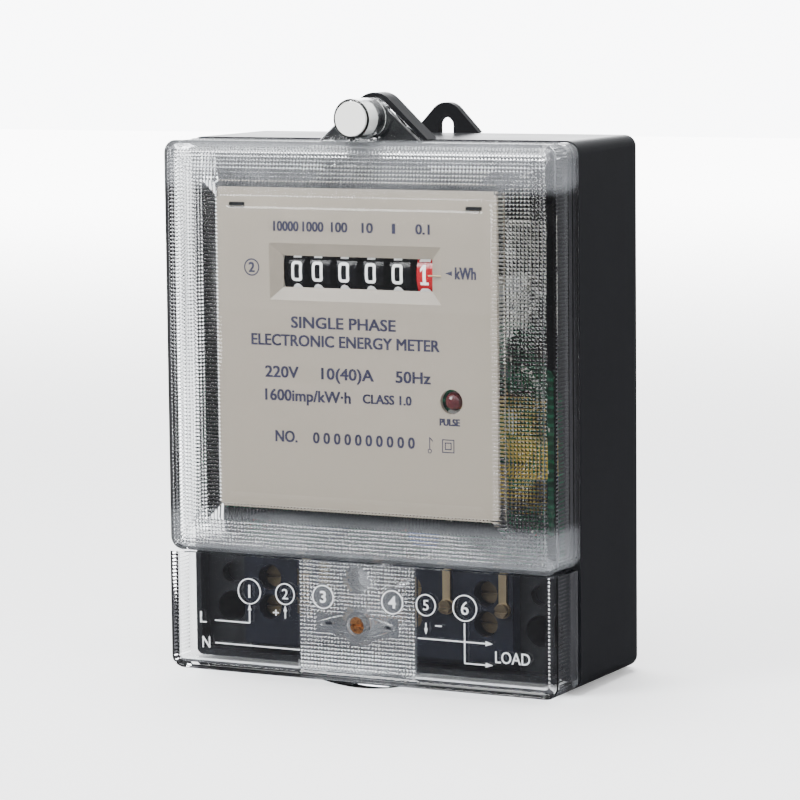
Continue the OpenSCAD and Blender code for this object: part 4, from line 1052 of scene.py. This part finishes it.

# %% [markdown]
# ## Camera, light and floor
# The camera stands at a fitted place, to the right and slightly above. Two large
# soft lights, a fill from the right, a broad overhead sun and a pale world give the plain
# studio look. The world is brightest straight behind the meter and overhead.

# %% Camera
YAW, PITCH, ROLL = 0.4713, 0.1181, -0.0105
FOCAL_MM, SENSOR_MM = 158.79, 36.0
camera_data = bpy.data.cameras.new("camera")
camera_data.lens, camera_data.sensor_width = FOCAL_MM, SENSOR_MM
camera = bpy.data.objects.new("camera", camera_data)
bpy.context.scene.collection.objects.link(camera)
forward = Vector((-math.sin(YAW) * math.cos(PITCH), math.cos(YAW) * math.cos(PITCH),
                  -math.sin(PITCH)))
right = Vector((math.cos(YAW), math.sin(YAW), 0))
up = right.cross(forward)
turned_right = right * math.cos(ROLL) + up * math.sin(ROLL)
turned_up = up * math.cos(ROLL) - right * math.sin(ROLL)
camera.matrix_world = Matrix.Translation(at(423.32, -802.95, 182.72)) @ Matrix(
    (turned_right, turned_up, -forward)).transposed().to_4x4()
bpy.context.scene.camera = camera
print("camera at", tuple(round(v, 3) for v in camera.matrix_world.translation))


# %% [markdown]
# The floor paper runs far back and glows more with distance, which softens the horizon
# behind the meter. It turns dark for light that has been mirrored once, because its
# reflection would veil the black parts; a real floor does not do that.

# %% Lights and floor
def area_light(name, place, aim, width, height, power, colour=(1, 1, 1)):
    data = bpy.data.lights.new(name, "AREA")
    data.shape, data.size, data.size_y = "RECTANGLE", width, height
    data.energy, data.color = power, colour
    light = bpy.data.objects.new(name, data)
    light.location = place
    light.rotation_euler = (Vector(aim) - Vector(place)).to_track_quat("-Z", "Y").to_euler()
    bpy.context.scene.collection.objects.link(light)
    return light


middle = (0, 0, 0.075)
area_light("key", (-0.55, -0.75, 0.7), middle, 0.55, 0.55, 15)
area_light("fill", (0.85, -0.35, 0.45), middle, 0.25, 0.7, 3)
area_light("top", (0.0, -0.05, 0.95), middle, 0.6, 0.6, 8)
sun_data = bpy.data.lights.new("overhead", "SUN")
sun_data.energy, sun_data.angle = 4.0, math.radians(35)
sun = bpy.data.objects.new("overhead", sun_data)
sun.rotation_euler = Vector((0.15, -0.3, -1)).to_track_quat("-Z", "Y").to_euler()
bpy.context.scene.collection.objects.link(sun)
world = bpy.data.worlds.new("pale")
world.use_nodes = True
sky = Graph(world.node_tree)
direction = sky.node("ShaderNodeTexCoord", out="Generated")
ahead = sky.node("ShaderNodeVectorMath", {"operation": "DOT_PRODUCT"},
                 [direction, tuple(forward)], out="Value")
lit = smooth_step(sky, ahead, 0.84, 0.97, 0.33, 9.0)
height = sky.node("ShaderNodeSeparateXYZ", {}, [direction], out="Z")
lit = lit + smooth_step(sky, height, 0.2, 0.8, 0.0, 1.3)
background = world.node_tree.nodes["Background"]
background.inputs["Color"].default_value = (0.97, 0.98, 1, 1)
world.node_tree.links.new(lit.socket, background.inputs["Strength"])
bpy.context.scene.world = world
material, paper = new_material("floor_paper")
place = paper.node("ShaderNodeTexCoord", out="Object")
behind = paper.node("ShaderNodeVectorMath", {"operation": "DOT_PRODUCT"},
                    [place, tuple(forward)], out="Value")
glow = smooth_step(paper, behind, 0.25, 2.2, 0.3, 8.0)
shade = mix_colour(paper, noise(paper, place, 3), rgba((0.84, 0.84, 0.85)),
                   rgba((0.87, 0.87, 0.87)))
shader = paper.node("ShaderNodeBsdfPrincipled", {}, {
    "Base Color": shade, "Roughness": noise(paper, place, 8) * 0.1 + 0.75,
    "Emission Color": mix_colour(paper, 1.0, rgba((1, 1, 1)), glow, "MULTIPLY"),
    "Emission Strength": 1.0})
mirrored = paper.node("ShaderNodeLightPath", out="Glossy Depth").math("MINIMUM", 1.0)
dim = paper.node("ShaderNodeBsdfDiffuse", {}, {"Color": rgba((0.06, 0.06, 0.065))})
paper.node("ShaderNodeOutputMaterial", {}, {
    "Surface": paper.node("ShaderNodeMixShader", {}, [mirrored, shader, dim])})
finishes["floor_paper"] = material
floor_mesh = mesh_of([(-3, -3, 0), (3, -3, 0), (3, 3, 0), (-3, 3, 0)], [(0, 1, 2, 3)])
floor_mesh.materials.append(finishes["floor_paper"])
floor = bpy.data.objects.new("floor", floor_mesh)
bpy.context.scene.collection.objects.link(floor)
print("lights and floor ready")
